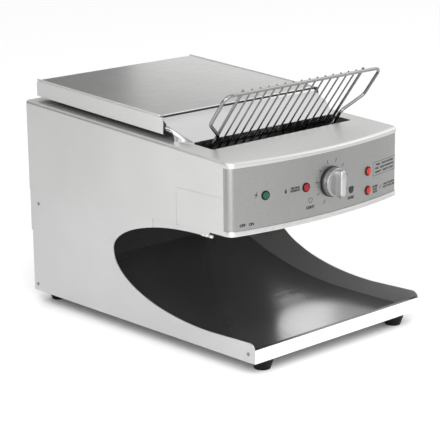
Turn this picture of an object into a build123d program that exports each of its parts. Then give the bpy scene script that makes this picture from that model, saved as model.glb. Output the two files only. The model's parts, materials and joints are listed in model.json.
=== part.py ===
"""Counter-top conveyor toaster: curved slide base, sloped hood, warming plate and orbiting wire rack.

Units are millimetres. X runs to the viewer's right when facing the front, the front faces -Y and
+Z is up. The origin is on the counter, below the middle of the body.
"""
from build123d import *
import os
from math import acos, atan2, cos, degrees, radians, sin, sqrt, tan

os.makedirs("parts", exist_ok=True)

# ---------------------------------------------------------------- driving dimensions: body
overall_width = 412.0
overall_depth = 596.0
plate_top_z = 421.0                # rear top edge of the warming plate above the counter
foot_height = 21.5
hood_sheet = 1.0                   # hood and front cover
panel_sheet = 1.5                  # side panels and base plate
liner_sheet = 1.0                  # slide, chute, back panel and reflectors
wall_sheet = 1.2                   # chamber walls, rear cover and control floor
slack = 0.3                        # clearance between pieces that move past each other
running = 0.05                     # radial clearance of a shaft in its hole
deck_slope = 3.4                   # degrees, falling towards the front
deck_drop = 37.6                   # from the plate's rear edge down to the deck's
edge_round = 6.0                   # rounding between the deck and the hood's sides
corner_round = 15.0                # plan rounding of the front corners
corner_setback = 56.0              # the bowed front would meet the sides this far behind the lip
bow_sag = 25.0                     # how far the front bows out at its middle
band_proud = 2.0                   # the top band and bottom rim stand out from the fascia by this
band_height = 10.1                 # from the deck down to the fascia at the corners
fascia_sheet = 0.6
fascia_height = 106.6
fascia_wrap = 14.0                 # the fascia wraps the corners this far back
rim_height = 8.2
rim_length = 37.0                  # the proud rim runs this far back along the sides
rim_flange = 12.0
hood_edge_rise = 1.4               # degrees, the hood's lower side edge rises towards the front
hood_edge_drop = 12.4              # from the rim's lower edge down to the hood's rear corner
wing_height = 63.6                 # front cover's wings, behind the fascia on either side
wing_length = 130.0

# ---------------------------------------------------------------- driving dimensions: plate and chute
plate_rear_inset = 12.0
plate_side_inset = 15.8
plate_setback = 242.0              # from the front lip back to the plate's front edge
plate_flange = 30.0
plate_nose = 8.0                   # radius of the flange's rounded front end
plate_rear_round = 8.0
plate_edge_round = 2.0
plate_sheet = 1.2
rail_inset = 37.2                  # plate rails inside the plate's sides
rail_width = 12.0
rail_end_inset = 18.0
window_side_inset = 3.0            # opening in the deck below the plate, inside the rails
window_front_inset = 16.0
window_rear_inset = 24.0
window_corner = 8.0
slot_ahead = 25.0                  # bread slot in the deck, ahead of and behind the wires
slot_behind = 34.0
slot_side_inset = 1.7              # slot inside the chamber walls
slot_corner = 5.0
slot_flange = 10.0
chute_tuck = 1.0                   # feed chute: a ramp from under the plate down to the slot
chute_side_inset = 4.2
chute_rear_drop = 4.1
chute_knee_run = 15.0
chute_knee_drop = 11.0
chute_taper_run = 29.0
chute_front_run = 62.0
chute_front_rise = 2.6
chute_front_inset = 0.8
chute_notch = (30.0, 15.0)         # opening at the foot of its sides, at the rear: length and height
chute_notch_round = 10.0
chute_lip_n = 19.0
chute_lip_t = 26.0

# ---------------------------------------------------------------- driving dimensions: base
base_rear_inset = 3.5              # side panels below the step
base_step_z = 137.0
panel_front_setback = 250.0        # front edge of the side panels under the hood
panel_overlap = 48.0               # side panels reach up inside the hood by this
cutout_apex_setback = 357.1        # rearmost point of the side cut-out
cutout_apex_z = 147.4
cutout_overlap = 3.4               # the upper quarter ellipse ends this far above the hood's edge
cutout_upper_reach = 227.0
cutout_lower_reach = 249.0
cutout_lower_drop = 94.8
arm_tip_height = 34.7              # side panels' low front arm
arm_tip_round = 12.0
lip_height = 23.8
lip_depth = 8.4
lip_sheet = 1.2
slide_flat_length = 176.0          # the slide starts to curve up here
slide_radius = 670.0
slide_crease_setback = 473.0       # the slide folds up to its back wall here
slide_wall_lean = 31.0
slide_wall_gap = 2.0               # back wall ends this far below the hood's rear corner
slide_wall_bend = 28.0
ceiling_setback = 324.0            # front end of the ceiling above the slide
foot_inset = 24.0                  # from the body's front and rear
foot_side_inset = 42.0
foot_top_radius = 20.0
foot_bottom_radius = 13.5
foot_collar = 2.5
foot_screw_radius = 2.6
foot_screw_head = (4.8, 2.8)       # radius and height of the head inside the foot's recess
foot_recess = 5.0
foot_recess_radius = 7.0
side_screw_radius = 2.0
side_screw_head = (3.2, 0.8)
side_screw_length = 8.0
side_screw_rear_insets = (24.5, 14.0)
side_screw_front_inset = 15.0
side_screw_heights = (12.5, 14.5)  # rear and front ones above the feet
side_screw_drop = 23.0             # upper rear one below the hood's rear corner

# ---------------------------------------------------------------- driving dimensions: toasting path
feed_angle = 53.0                  # degrees below the horizontal
path_setback = 158.0               # where the toast's supporting wires cross the deck
path_rise = 1.1
side_bay = 34.5                    # from the chamber walls out to the body's sides
wire = 3.0                         # thin wire diameter
bar = 5.0                          # thick inner bars of the racks
frame_rod = 6.0                    # feed rack's outer loop
cross_rod = 4.0
walk_rod = 5.0
wire_count = 14
bar_inset = 26.0                   # thick bars inside the chamber walls
leg_inset = 21.5                   # feed rack's legs inside the chamber walls
loop_inset = 19.0                  # feed rack's outer loop inside the body's sides
loop_round = 15.0
loop_top = 124.0                   # feed rack's reach above the deck, up the path
loop_shoulder = (24.5, 58.0)       # the loop leans out from its legs between these
leg_end_t = 42.0
leg_rung_t = 25.0
socket_t = (27.3, 44.0)
socket_radius = 5.0
weld = 0.3                         # depth two welded wires sink into each other
rung_weld = 0.5                    # and a cross rod into the wires it carries
toast_gap = 24.0                   # between the lower wires and the upper guard wires
lower_rack_t = (44.0, 178.0)
lower_rungs_t = (48.0, 172.0)
lower_bars_t = (50.0, 176.0)
guard_rack_t = (30.0, 176.0)
guard_rungs_t = (40.0, 168.0)
crank_radius = 6.0
crank_gap = 7.0                    # crank axes below the supporting wires, besides their radius
rod_depth = 12.0                   # moving wires stand this far above their cross rods
staple_bend = 4.0
spur_ts = (85.0, 110.0, 135.0)
spur_height = 3.0
spur_radius = 1.2
walk_t = (64.0, 156.0)             # cross rods' distances down the path from the deck

# ---------------------------------------------------------------- driving dimensions: controls
control_rise = 53.6                # lamps, knob and upper button above the fascia's lower edge
low_button_rise = 19.1
lamp_xs = (-137.0, -51.0)
button_x = 108.5
bezel_radius = 8.0
bezel_seat = 0.4                   # bezels start this far out, clear of the curved face
lamp_radius = 6.5                  # lamp bodies and the holes they sit in
lamp_depth = 16.0
lamp_dome = [(0.0, 3.4), (3.6, 2.9), (5.6, 1.6)]   # radius and height
lamp_rim = 1.2
button_radius = 6.0
button_travel = 2.5
button_proud = 4.4
button_skirt = 9.0
button_round = 0.8
stem_radius = 2.0
housing_radius = 7.3
housing_depth = 15.0
housing_floor = 2.0
knob_x = 10.0
knob_radius = 26.6
knob_skirt = (1.0, 5.0)            # skirt's back and front, out from the fascia
barrel_radius = 25.0
knob_height = 14.0
grip_height = 28.0
grip_width = 12.5
grip_taper = 2.0                   # degrees
grip_round = 1.5
shaft_radius = 3.0
shaft_length = 24.0
bush_radius = 4.5
bush_depth = 3.0
control_radius = 14.0
control_depth = 20.0
switch_inset = 30.0                # rocker switch inside the body's left side
switch_setback = 146.0
switch_half = (15.5, 7.9)          # half length and half width of the rocker switch's body
switch_depth = 24.0
switch_bezel = 2.0                 # bezel's thickness and corner rounding
bezel_half = (17.5, 9.8)
rocker_half = (12.0, 5.3)
rocker_gap = (1.0, 0.4)
rocker_tilt = 10.0                 # degrees to either side of level
rocker_pin = 1.5
rocker_pin_half = 7.0
rocker_drop = (2.5, 8.0, 10.5)     # rocker's back, waist and tips below its pin
rocker_pivot_rise = 2.0
floor_inset = 4.4                  # control floor's edge inside the body's outline
floor_setback = 178.0

# ---------------------------------------------------------------- driving dimensions: drive and heat
frame_sheet = 1.7
frame_setback = 108.0
frame_top_drop = 11.2              # frame plates end this far below the fascia's top
wall_runs = (28.0, 78.0, 162.0, 35.0)  # chamber walls ahead of and behind the path's crossing
wall_falls = (104.5, 136.5, 58.5)  # and below it
wall_top_gap = 0.2
crank_disc_gap = 4.5               # from the chamber walls' inner faces to the crank discs
crank_disc_sheet = 5.0
crank_disc = 13.0
crank_stub = 4.0
crank_bush_radius = 7.0
crank_bush_flange = 9.5
crank_bush_length = 12.0
crank_opening = 10.0               # hole in the chamber walls that a cross rod circles in
rod_running = 0.1                  # radial clearance of the cross rods in the cranks
arm_gap = 0.7                      # drive arm outside the chamber wall
arm_sheet = 2.0
arm_half_width = 8.0
motor_disc_gap = 0.9
motor_run = 202.0                  # motor shaft behind and below the path's crossing of the deck
motor_fall = 96.5
motor_disc = 12.0
motor_disc_sheet = 5.0
motor_pin = 3.0
motor_shaft = 4.0
motor_shaft_length = 17.5
gearbox_gap = 9.5
gearbox_size = (42.0, 54.0, 32.0)
gearbox_rise = 6.0
motor_can = (19.0, 54.0)           # radius and length
motor_can_rise = 10.0
motor_cap = (8.0, 6.0)
bracket_reach = 28.0               # motor bracket ahead of and behind the shaft
bracket_height = 34.0
bracket_foot = 28.0
bracket_sheet = 1.5
element_radius = 3.25
element_end = 11.5                 # rods and their pins run out past the chamber walls by this
pin_end = 14.5
pin_radius = 1.5
insulator_radius = 6.0
insulator_waist = 4.8
insulator_collar = 3.5
front_bank = (-35.0, [62.0, 92.0, 122.0])          # n, then each rod's t
rear_bank = (45.0, [50.0, 84.0, 118.0, 152.0])
front_reflector_at = (-52.0, 42.0, 128.0)          # n, then t at both ends
rear_reflector_at = (62.0, 46.0, 176.0)
reflector_flange = 8.0
spacer_radius = 4.0
spacer_places = [(-32.4, 26.3), (27.5, 71.5), (-46.1, 86.1), (60.6, 143.9)]   # n, t

# ---------------------------------------------------------------- driving dimensions: rear
rear_inset = 1.5                   # rear cover inside the hood's rear edge
rear_gap = 1.6                     # rear cover's top below the hood's sheet
vent_drop = 83.4                   # louvres' and fan's middle below the deck's rear edge
louvre_x = 95.0
louvre_pitch = 10.0
louvre_count = 9
louvre_size = (130.0, 4.0)
fan_x = -95.0
fan_radius = 37.0
fan_slot_width = 4.2
fan_slot_count = 18
fan_size = 80.0
fan_depth = 20.0
fan_bore = 38.0
fan_corner = 5.0
fan_screw_pitch = 71.5
fan_screw_radius = 2.2
fan_spider = 3.0
fan_hub = 15.0
fan_pin = 1.5
fan_blades = (10.0, 2.4, 30.0)     # axial depth, thickness and pitch in degrees
fan_blade_count = 7
rear_screw_radius = 1.8
rear_screw_head = (3.4, 1.3)
rear_screw_length = 7.0
rear_screw_inset = 14.0
rear_screw_rises = (13.0, 118.0)   # lower two above the base's step
rear_screw_drop = 15.4             # upper one below the deck's rear edge
grommet_side_inset = 56.0
grommet_z = 70.0
grommet_bore = 4.75
grommet_waist = 8.0
grommet_flange = 3.0
grommet_collar = (2.4, 4.0)
grommet_depth = 12.0
board_size = (150.0, 84.0)
board_sheet = 1.6
board_setback = 112.0
board_x = -20.0
board_clearance = 7.4
board_blocks = [(-40.0, 12.0, 28.0, 24.0), (30.0, 22.0, 19.0, 16.0)]  # x, z on the board, then size
board_block_depth = 14.0
board_cans = [(0.0, -16.0), (55.0, -16.0), (-40.0, -20.0)]
board_can = (6.0, 18.0)
board_tab = (12.0, 20.0, 10.0)
board_tab_xs = (-60.0, 60.0)

# ---------------------------------------------------------------- places that follow from those sizes
half_width = overall_width / 2
half_depth = overall_depth / 2
front_y = -half_depth
panel_x = half_width - hood_sheet           # outer face of the lower side panels
panel_inner_x = panel_x - panel_sheet
rear_inside_y = half_depth - rear_inset
bow_radius = (half_width ** 2 + bow_sag ** 2) / (2 * bow_sag)
front_corner_y = front_y + corner_setback
fascia_wrap_y = front_corner_y + fascia_wrap
rim_rear_y = front_corner_y + rim_length
wing_rear_y = front_corner_y + wing_length
deck_rear_z = plate_top_z - deck_drop
plate_rear_y = half_depth - plate_rear_inset
plate_front_y = front_y + plate_setback
plate_half_width = half_width - plate_side_inset
rail_x = plate_half_width - rail_inset
rail_front_y = plate_front_y + rail_end_inset
rail_rear_y = plate_rear_y - rail_end_inset


def deck_z(y):
    """Height of the deck's top face at depth y."""
    return deck_rear_z + tan(radians(deck_slope)) * (y - half_depth)


def plate_z(y):
    """Height of the warming plate's top face at depth y."""
    return plate_top_z + tan(radians(deck_slope)) * (y - plate_rear_y)


fascia_top_z = deck_z(front_corner_y) - band_height
fascia_bottom_z = fascia_top_z - fascia_height
rim_bottom_z = fascia_bottom_z - rim_height
wing_top_z = rim_bottom_z + wing_height
hood_rear_edge_z = rim_bottom_z - hood_edge_drop
path_y = front_y + path_setback
path_z = deck_z(path_y) + path_rise
chamber_x = half_width - side_bay           # inner faces of the chamber walls
slot_half_width = chamber_x - slot_side_inset
slot_front_y = path_y - slot_ahead
slot_rear_y = path_y + slot_behind
control_z = fascia_bottom_z + control_rise
lamp_spots = [(x, control_z) for x in lamp_xs]
button_spots = [(button_x, control_z), (button_x, fascia_bottom_z + low_button_rise)]
switch_x = switch_inset - half_width
switch_y = front_y + switch_setback
floor_rear_y = front_y + floor_setback
frame_outer_x = panel_inner_x
frame_inner_x = frame_outer_x - frame_sheet
frame_plate_front_y = front_y + frame_setback
crank_x = (chamber_x + crank_disc_gap, chamber_x + crank_disc_gap + crank_disc_sheet)
arm_x = (chamber_x + wall_sheet + arm_gap, chamber_x + wall_sheet + arm_gap + arm_sheet)
motor_spot = (path_y + motor_run, path_z - motor_fall)
vent_z = deck_rear_z - vent_drop


def hood_edge_z(y):
    """Height of the hood's lower side edge at depth y."""
    return hood_rear_edge_z + tan(radians(hood_edge_rise)) * (half_depth - y)


def path_point(n, t):
    """(y, z) of a point n above the supporting wires and t down the path from the deck."""
    a = radians(feed_angle)
    return (path_y + n * sin(a) + t * cos(a), path_z + n * cos(a) - t * sin(a))


def path_plane(n):
    """Plane parallel to the supporting wires: local x is X and local y runs down the path."""
    a = radians(feed_angle)
    y, z = path_point(n, 0)
    return Plane(origin=(0, y, z), x_dir=(1, 0, 0), z_dir=(0, sin(a), cos(a)))


def bow_y(x, proud=0.0):
    """Depth of the bowed front at x, standing proud of the fascia's face."""
    radius = bow_radius + proud
    return front_corner_y - bow_sag + bow_radius - sqrt(radius ** 2 - x ** 2)


def fascia_plane(x, z, proud=0.0):
    """Plane square to the bowed front at x, z: local z points out, local y is up."""
    side = x / bow_radius
    ahead = sqrt(1 - side ** 2)
    y = bow_y(x)
    return Plane(
        origin=(x + side * proud, y - ahead * proud, z), x_dir=(ahead, side, 0), z_dir=(side, -ahead, 0)
    )


def write_part(builder, node_name):
    """Label a finished piece and write its STEP file."""
    builder.part.label = node_name
    export_step(builder.part, f"parts/{node_name}.step")


def side_name(side):
    """left is the viewer's left."""
    return "left" if side < 0 else "right"


deck_plane = Plane(
    origin=(0, half_depth, deck_rear_z),
    x_dir=(1, 0, 0),
    z_dir=(0, -sin(radians(deck_slope)), cos(radians(deck_slope))),
)


def body_outline(inset, proud, mode=Mode.ADD):
    """Plan outline of the body: straight sides, rounded corners and a bowed front."""
    x = half_width - inset
    front = bow_y(x, proud)
    with BuildSketch(mode=Mode.PRIVATE) as outline:
        with BuildLine():
            ThreePointArc((-x, front), (0, bow_y(0, proud)), (x, front))
            Polyline((x, front), (x, half_depth), (-x, half_depth), (-x, front))
        make_face()
        fillet(outline.vertices().group_by(Axis.Y)[0], radius=corner_round - inset)
    add(outline.sketch, mode=mode)


def clear_behind(y):
    """Take away everything behind depth y from a plan sketch."""
    behind = (Align.CENTER, Align.MIN)
    with Locations((0, y)):
        Rectangle(2 * overall_width, 2 * overall_depth, align=behind, mode=Mode.SUBTRACT)


def deck_local(y):
    """Depth y as a local coordinate of the deck's plane."""
    return (y - half_depth) / cos(radians(deck_slope))


def rod(start, end, radius, mode=Mode.ADD):
    """Straight round rod between two points, or a round hole."""
    run = Vector(*end) - Vector(*start)
    with BuildSketch(Plane(origin=start, z_dir=run), mode=Mode.PRIVATE) as disc:
        Circle(radius)
    extrude(disc.sketch, amount=run.length, mode=mode)


def wire_run(x, n, start_t, end_t, radius):
    """Rod lying down the path at x, n above the supporting wires."""
    rod((x, *path_point(n, start_t)), (x, *path_point(n, end_t)), radius)


def cross_run(half_length, n, t, radius):
    """Rod across the path."""
    y, z = path_point(n, t)
    rod((-half_length, y, z), (half_length, y, z), radius)


def side_rod(side, x_range, centre, radius, mode=Mode.ADD):
    """Rod or hole along X on one side, between two distances from the middle."""
    rod((side * x_range[0], *centre), (side * x_range[1], *centre), radius, mode)


# ================================================================ base
base_rear_y = half_depth - base_rear_inset
panel_front_edge_y = front_y + panel_front_setback
panel_top_z = hood_rear_edge_z + panel_overlap
cutout_apex_y = front_y + cutout_apex_setback
cutout_upper = (cutout_upper_reach, hood_rear_edge_z + cutout_overlap - cutout_apex_z)
cutout_lower = (cutout_lower_reach, cutout_lower_drop)
side_screw_spots = [
    (half_depth - side_screw_rear_insets[0], hood_rear_edge_z - side_screw_drop),
    (half_depth - side_screw_rear_insets[1], foot_height + side_screw_heights[0]),
    (front_y + side_screw_front_inset, foot_height + side_screw_heights[1]),
]


def side_panel(side):
    """Lower side panel with the swept cut-out that shows the slide."""
    high_y = cutout_apex_y - cutout_upper[0]
    low_y = cutout_apex_y - cutout_lower[0]
    sweep = degrees(acos((panel_front_edge_y - high_y) / cutout_upper[0]))
    with BuildPart() as panel:
        with BuildSketch(Plane.YZ.offset(side * panel_x)):
            with BuildLine():
                above = EllipticalCenterArc((high_y, cutout_apex_z), *cutout_upper, 0, arc_size=sweep)
                below = EllipticalCenterArc((low_y, cutout_apex_z), *cutout_lower, 0, arc_size=-90)
                tip = Line(below @ 1, (front_y, foot_height + arm_tip_height))
                Polyline(
                    tip @ 1,
                    (front_y, foot_height),
                    (base_rear_y, foot_height),
                    (base_rear_y, base_step_z),
                    (half_depth, base_step_z),
                    (half_depth, panel_top_z),
                    (panel_front_edge_y, panel_top_z),
                    above @ 1,
                )
            make_face()
            with Locations(*side_screw_spots):
                Circle(side_screw_radius, mode=Mode.SUBTRACT)
        extrude(amount=-side * panel_sheet)
        tip_edges = panel.edges().filter_by(Axis.X).group_by(Axis.Y)[0].sort_by(Axis.Z)
        fillet(tip_edges[-1], radius=arm_tip_round)
    write_part(panel, f"{side_name(side)}_side_panel")


for side in (-1, 1):
    side_panel(side)

with BuildPart() as side_screws:
    for side in (-1, 1):
        with BuildSketch(Plane.YZ.offset(side * panel_x)):
            with Locations(*side_screw_spots):
                Circle(side_screw_head[0])
        extrude(amount=side * side_screw_head[1])
        with BuildSketch(Plane.YZ.offset(side * panel_x)):
            with Locations(*side_screw_spots):
                Circle(side_screw_radius)
        extrude(amount=-side * side_screw_length)
    fillet(side_screws.faces().filter_by(Axis.X).group_by(Axis.X)[0].edges(), radius=0.5)
    fillet(side_screws.faces().filter_by(Axis.X).group_by(Axis.X)[-1].edges(), radius=0.5)
write_part(side_screws, "side_screws")

base_top_z = foot_height + panel_sheet
foot_x = half_width - foot_side_inset
foot_ys = (foot_inset - half_depth, half_depth - foot_inset)
foot_spots = [(x, y) for x in (-foot_x, foot_x) for y in foot_ys]
back_panel_y = base_rear_y - panel_sheet
grommet_x = half_width - grommet_side_inset
with BuildPart() as base_plate:
    with BuildSketch(Plane.XY.offset(foot_height)):
        with Locations((0, (back_panel_y - liner_sheet + lip_sheet - half_depth) / 2)):
            Rectangle(2 * panel_inner_x, back_panel_y - liner_sheet - lip_sheet + half_depth)
    extrude(amount=panel_sheet)
    with Locations((0, 0, foot_height)):
        with Locations(*foot_spots):
            Hole(radius=foot_screw_radius)
write_part(base_plate, "base_plate")

foot_names = ["foot_front_left", "foot_rear_left", "foot_front_right", "foot_rear_right"]
for node, (x, y) in zip(foot_names, foot_spots):
    with BuildPart() as foot:
        with BuildSketch(Plane(origin=(x, y, 0), x_dir=(1, 0, 0), z_dir=(0, -1, 0))):
            with BuildLine():
                Polyline(
                    (foot_screw_radius + running, foot_recess),
                    (foot_recess_radius, foot_recess),
                    (foot_recess_radius, 0.0),
                    (foot_bottom_radius, 0.0),
                    (foot_top_radius, foot_height - foot_collar),
                    (foot_top_radius, foot_height),
                    (foot_screw_radius + running, foot_height),
                    close=True,
                )
            make_face()
        revolve(axis=Axis((x, y, 0), (0, 0, 1)))
    write_part(foot, node)

with BuildPart() as foot_screws:
    with BuildSketch(Plane.XY.offset(foot_recess)):
        with Locations(*foot_spots):
            Circle(foot_screw_head[0])
    extrude(amount=-foot_screw_head[1])
    with BuildSketch(Plane.XY.offset(foot_recess)):
        with Locations(*foot_spots):
            Circle(foot_screw_radius)
    extrude(amount=base_top_z - foot_recess)
write_part(foot_screws, "foot_screws")

lip_top_z = foot_height + lip_height
lip_rear_y = front_y + lip_depth
with BuildPart() as tray_lip:
    with BuildSketch(Plane.YZ.offset(-panel_inner_x)):
        with BuildLine():
            Polyline(
                (front_y, foot_height),
                (front_y, lip_top_z),
                (lip_rear_y, lip_top_z),
                (lip_rear_y, base_top_z),
                (lip_rear_y - lip_sheet, base_top_z),
                (lip_rear_y - lip_sheet, lip_top_z - lip_sheet),
                (front_y + lip_sheet, lip_top_z - lip_sheet),
                (front_y + lip_sheet, foot_height),
                close=True,
            )
        make_face()
    extrude(amount=2 * panel_inner_x)
    fillet(tray_lip.edges().filter_by(Axis.X).group_by(Axis.Z)[-1], radius=0.8 * lip_sheet)
write_part(tray_lip, "tray_lip")

slide_flat_end_y = front_y + slide_flat_length
slide_crease_y = front_y + slide_crease_setback
slide_wall_top = (slide_crease_y + slide_wall_lean, hood_rear_edge_z - slide_wall_gap)
ceiling_front_y = front_y + ceiling_setback
with BuildPart() as toast_slide:
    with BuildSketch(Plane.YZ.offset(-panel_inner_x)):
        with BuildLine():
            floor_line = Line((lip_rear_y, base_top_z), (slide_flat_end_y, base_top_z))
            centre_z = base_top_z + slide_radius
            run = slide_crease_y - slide_flat_end_y
            crease_z = centre_z - sqrt(slide_radius ** 2 - run ** 2)
            curve = TangentArc(floor_line @ 1, (slide_crease_y, crease_z), tangent=(1, 0))
            FilletPolyline(
                curve @ 1,
                slide_wall_top,
                (ceiling_front_y, hood_edge_z(ceiling_front_y) - liner_sheet),
                radius=slide_wall_bend,
            )
            offset(amount=liner_sheet, side=Side.LEFT)
        make_face()
    extrude(amount=2 * panel_inner_x)
write_part(toast_slide, "toast_slide")


# ================================================================ hood, rear and plate
deck_window_x = rail_x - window_side_inset
deck_window_front_y = plate_front_y + window_front_inset
deck_window_rear_y = plate_rear_y - window_rear_inset

with BuildPart() as body_hood:
    with BuildSketch(Plane.XY.offset(base_step_z)):
        body_outline(0, band_proud)
    extrude(amount=overall_depth)
    split(bisect_by=deck_plane, keep=Keep.BOTTOM)
    top_edges = body_hood.faces().sort_by(Axis.Z)[-1].edges()
    fillet(top_edges.filter_by(lambda edge: edge.center().Y < half_depth - 1), radius=edge_round)
    openings = [body_hood.faces().sort_by(Axis.Z)[0], body_hood.faces().sort_by(Axis.Y)[-1]]
    offset(amount=-hood_sheet, openings=openings)
    with BuildSketch(Plane.YZ):
        with BuildLine():
            Polyline(
                (half_depth, hood_edge_z(half_depth)),
                (wing_rear_y, hood_edge_z(wing_rear_y)),
                (wing_rear_y, wing_top_z),
                (fascia_wrap_y, wing_top_z),
                (fascia_wrap_y, fascia_top_z),
                (-overall_depth, fascia_top_z),
                (-overall_depth, 0),
                (half_depth, 0),
                close=True,
            )
        make_face()
    extrude(amount=half_width, both=True, mode=Mode.SUBTRACT)
    with BuildSketch(Plane.XY.offset(fascia_top_z)):
        body_outline(0, band_proud)
        body_outline(fascia_sheet + hood_sheet, -fascia_sheet - hood_sheet, mode=Mode.SUBTRACT)
        clear_behind(fascia_wrap_y)
    extrude(amount=hood_sheet)
    with BuildSketch(deck_plane):
        with Locations((0, deck_local((slot_front_y + slot_rear_y) / 2))):
            slot_depth = deck_local(slot_rear_y) - deck_local(slot_front_y)
            RectangleRounded(2 * slot_half_width, slot_depth, slot_corner)
        with Locations((0, deck_local((deck_window_front_y + deck_window_rear_y) / 2))):
            window_depth = deck_local(deck_window_rear_y) - deck_local(deck_window_front_y)
            RectangleRounded(2 * deck_window_x, window_depth, window_corner)
    extrude(amount=-2 * hood_sheet, mode=Mode.SUBTRACT)
    with BuildSketch(Plane.YZ.offset(slot_corner - slot_half_width)):
        with BuildLine():
            flange_y = slot_front_y - hood_sheet
            flange_z = deck_z(slot_front_y) - slot_flange
            Polyline(
                (slot_front_y, deck_z(slot_front_y) - hood_sheet / 2),
                (flange_y, deck_z(flange_y) - hood_sheet / 2),
                (flange_y, flange_z),
                (slot_front_y, flange_z),
                close=True,
            )
        make_face()
    extrude(amount=2 * (slot_half_width - slot_corner))
write_part(body_hood, "body_hood")

rear_screw_zs = [base_step_z + rise for rise in rear_screw_rises] + [deck_rear_z - rear_screw_drop]
rear_screw_x = half_width - rear_screw_inset
rear_screw_spots = [(x, z) for x in (-rear_screw_x, rear_screw_x) for z in rear_screw_zs]
with BuildPart() as rear_cover:
    with BuildSketch(Plane.XZ.offset(-rear_inside_y)):
        top_z = deck_z(rear_inside_y) - hood_sheet - rear_gap
        with Locations((0, (base_step_z + top_z) / 2)):
            Rectangle(2 * panel_inner_x, top_z - base_step_z)
        with Locations((louvre_x, vent_z)):
            with GridLocations(0, louvre_pitch, 1, louvre_count):
                SlotOverall(*louvre_size, mode=Mode.SUBTRACT)
        with Locations((fan_x, vent_z)):
            with PolarLocations(fan_radius * 0.62, fan_slot_count):
                SlotOverall(fan_radius * 0.58, fan_slot_width, mode=Mode.SUBTRACT)
        with Locations(*rear_screw_spots):
            Circle(rear_screw_radius, mode=Mode.SUBTRACT)
    extrude(amount=wall_sheet)
write_part(rear_cover, "rear_cover")

with BuildPart() as rear_screws:
    with BuildSketch(Plane.XZ.offset(-rear_inside_y)):
        with Locations(*rear_screw_spots):
            Circle(rear_screw_head[0])
    extrude(amount=-rear_screw_head[1])
    fillet(rear_screws.faces().sort_by(Axis.Y)[-1].edges(), radius=rear_screw_head[1] / 2)
    with BuildSketch(Plane.XZ.offset(-rear_inside_y)):
        with Locations(*rear_screw_spots):
            Circle(rear_screw_radius)
    extrude(amount=rear_screw_length)
write_part(rear_screws, "rear_screws")

with BuildPart() as base_back_panel:
    with BuildSketch(Plane.YZ.offset(-panel_inner_x)):
        with BuildLine():
            Polyline(
                (back_panel_y, foot_height),
                (back_panel_y, base_step_z - liner_sheet),
                (rear_inside_y, base_step_z - liner_sheet),
                (rear_inside_y, base_step_z),
                (back_panel_y - liner_sheet, base_step_z),
                (back_panel_y - liner_sheet, foot_height),
                close=True,
            )
        make_face()
    extrude(amount=2 * panel_inner_x)
    with BuildSketch(Plane.XZ.offset(-back_panel_y)):
        with Locations((grommet_x, grommet_z)):
            Circle(grommet_waist)
    extrude(amount=2 * liner_sheet, mode=Mode.SUBTRACT)
write_part(base_back_panel, "base_back_panel")

grommet_spot = (grommet_x, back_panel_y, grommet_z)
with BuildPart() as cord_grommet:
    with BuildSketch(Plane(origin=grommet_spot, x_dir=(1, 0, 0), z_dir=(0, 0, 1))):
        with BuildLine():
            Polyline(
                (grommet_bore, grommet_flange),
                (grommet_waist + grommet_collar[0], grommet_flange),
                (grommet_waist + grommet_collar[1], 0),
                (grommet_waist, 0),
                (grommet_waist, -liner_sheet),
                (grommet_waist + grommet_collar[0], -liner_sheet),
                (grommet_waist, -0.75 * grommet_depth),
                (grommet_bore, -grommet_depth),
                close=True,
            )
        make_face()
    revolve(axis=Axis(grommet_spot, (0, 1, 0)))
write_part(cord_grommet, "cord_grommet")


def plate_profile(inset, nose_round):
    """Side profile of the warming plate, drawn in by a sheet for its hollow."""
    nose_y = plate_front_y - plate_nose
    rear = plate_rear_y - inset
    low = plate_flange + 2 * inset
    with BuildSketch(Plane.YZ.offset(inset - plate_half_width)) as profile:
        with BuildLine():
            Polyline(
                (nose_y, plate_z(nose_y) - inset),
                (nose_y, plate_z(nose_y) - low),
                (rear, plate_z(rear) - low),
                (rear, plate_z(rear) - inset),
                close=True,
            )
        make_face()
        middle = plate_flange / 2
        upper = profile.vertices().filter_by(lambda corner: corner.Y > plate_z(corner.X) - middle)
        fillet(upper.sort_by(Axis.X)[-1], radius=plate_rear_round - inset)
        fillet(upper.sort_by(Axis.X)[0], radius=nose_round)
    return profile.sketch


with BuildPart() as warming_plate:
    extrude(plate_profile(0, plate_nose), amount=2 * plate_half_width)
    rims = warming_plate.faces().filter_by(Axis.X).edges()
    upper = rims.filter_by(lambda edge: edge.center().Z > plate_z(edge.center().Y) - 0.8 * plate_flange)
    fillet(upper.filter_by(lambda edge: edge.center().Y > plate_front_y), radius=plate_edge_round)
    hollow = plate_profile(plate_sheet, plate_sheet)
    extrude(hollow, amount=2 * (plate_half_width - plate_sheet), mode=Mode.SUBTRACT)
    with Locations((0, plate_front_y - plate_nose, plate_top_z)):
        inside = 2 * (plate_half_width - plate_sheet)
        Box(inside, 2 * plate_nose, 4 * plate_flange, mode=Mode.SUBTRACT)
write_part(warming_plate, "warming_plate")

with BuildPart() as plate_rails:
    for side in (-1, 1):
        for inner in (0, wall_sheet):
            with BuildSketch(Plane.YZ.offset(side * (rail_x + inner))):
                with BuildLine():
                    Polyline(
                        (rail_front_y, deck_z(rail_front_y) + inner),
                        (rail_rear_y, deck_z(rail_rear_y) + inner),
                        (rail_rear_y, plate_z(rail_rear_y) - plate_sheet - inner),
                        (rail_front_y, plate_z(rail_front_y) - plate_sheet - inner),
                        close=True,
                    )
                make_face()
            extrude(amount=side * rail_width, mode=Mode.SUBTRACT if inner else Mode.ADD)
write_part(plate_rails, "plate_rails")


chute_rear_x = plate_half_width - chute_side_inset
chute_front_x = slot_half_width - chute_front_inset
chute_rear_y = plate_front_y - chute_tuck
chute_taper_y = chute_rear_y - chute_taper_run
chute_front_y = chute_rear_y - chute_front_run
chute_rear_z = plate_z(chute_rear_y) - chute_rear_drop
chute_front_z = deck_z(chute_front_y) + chute_front_rise
chute_knee_y = chute_rear_y - chute_knee_run
chute_knee_z = chute_rear_z - chute_knee_drop


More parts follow.
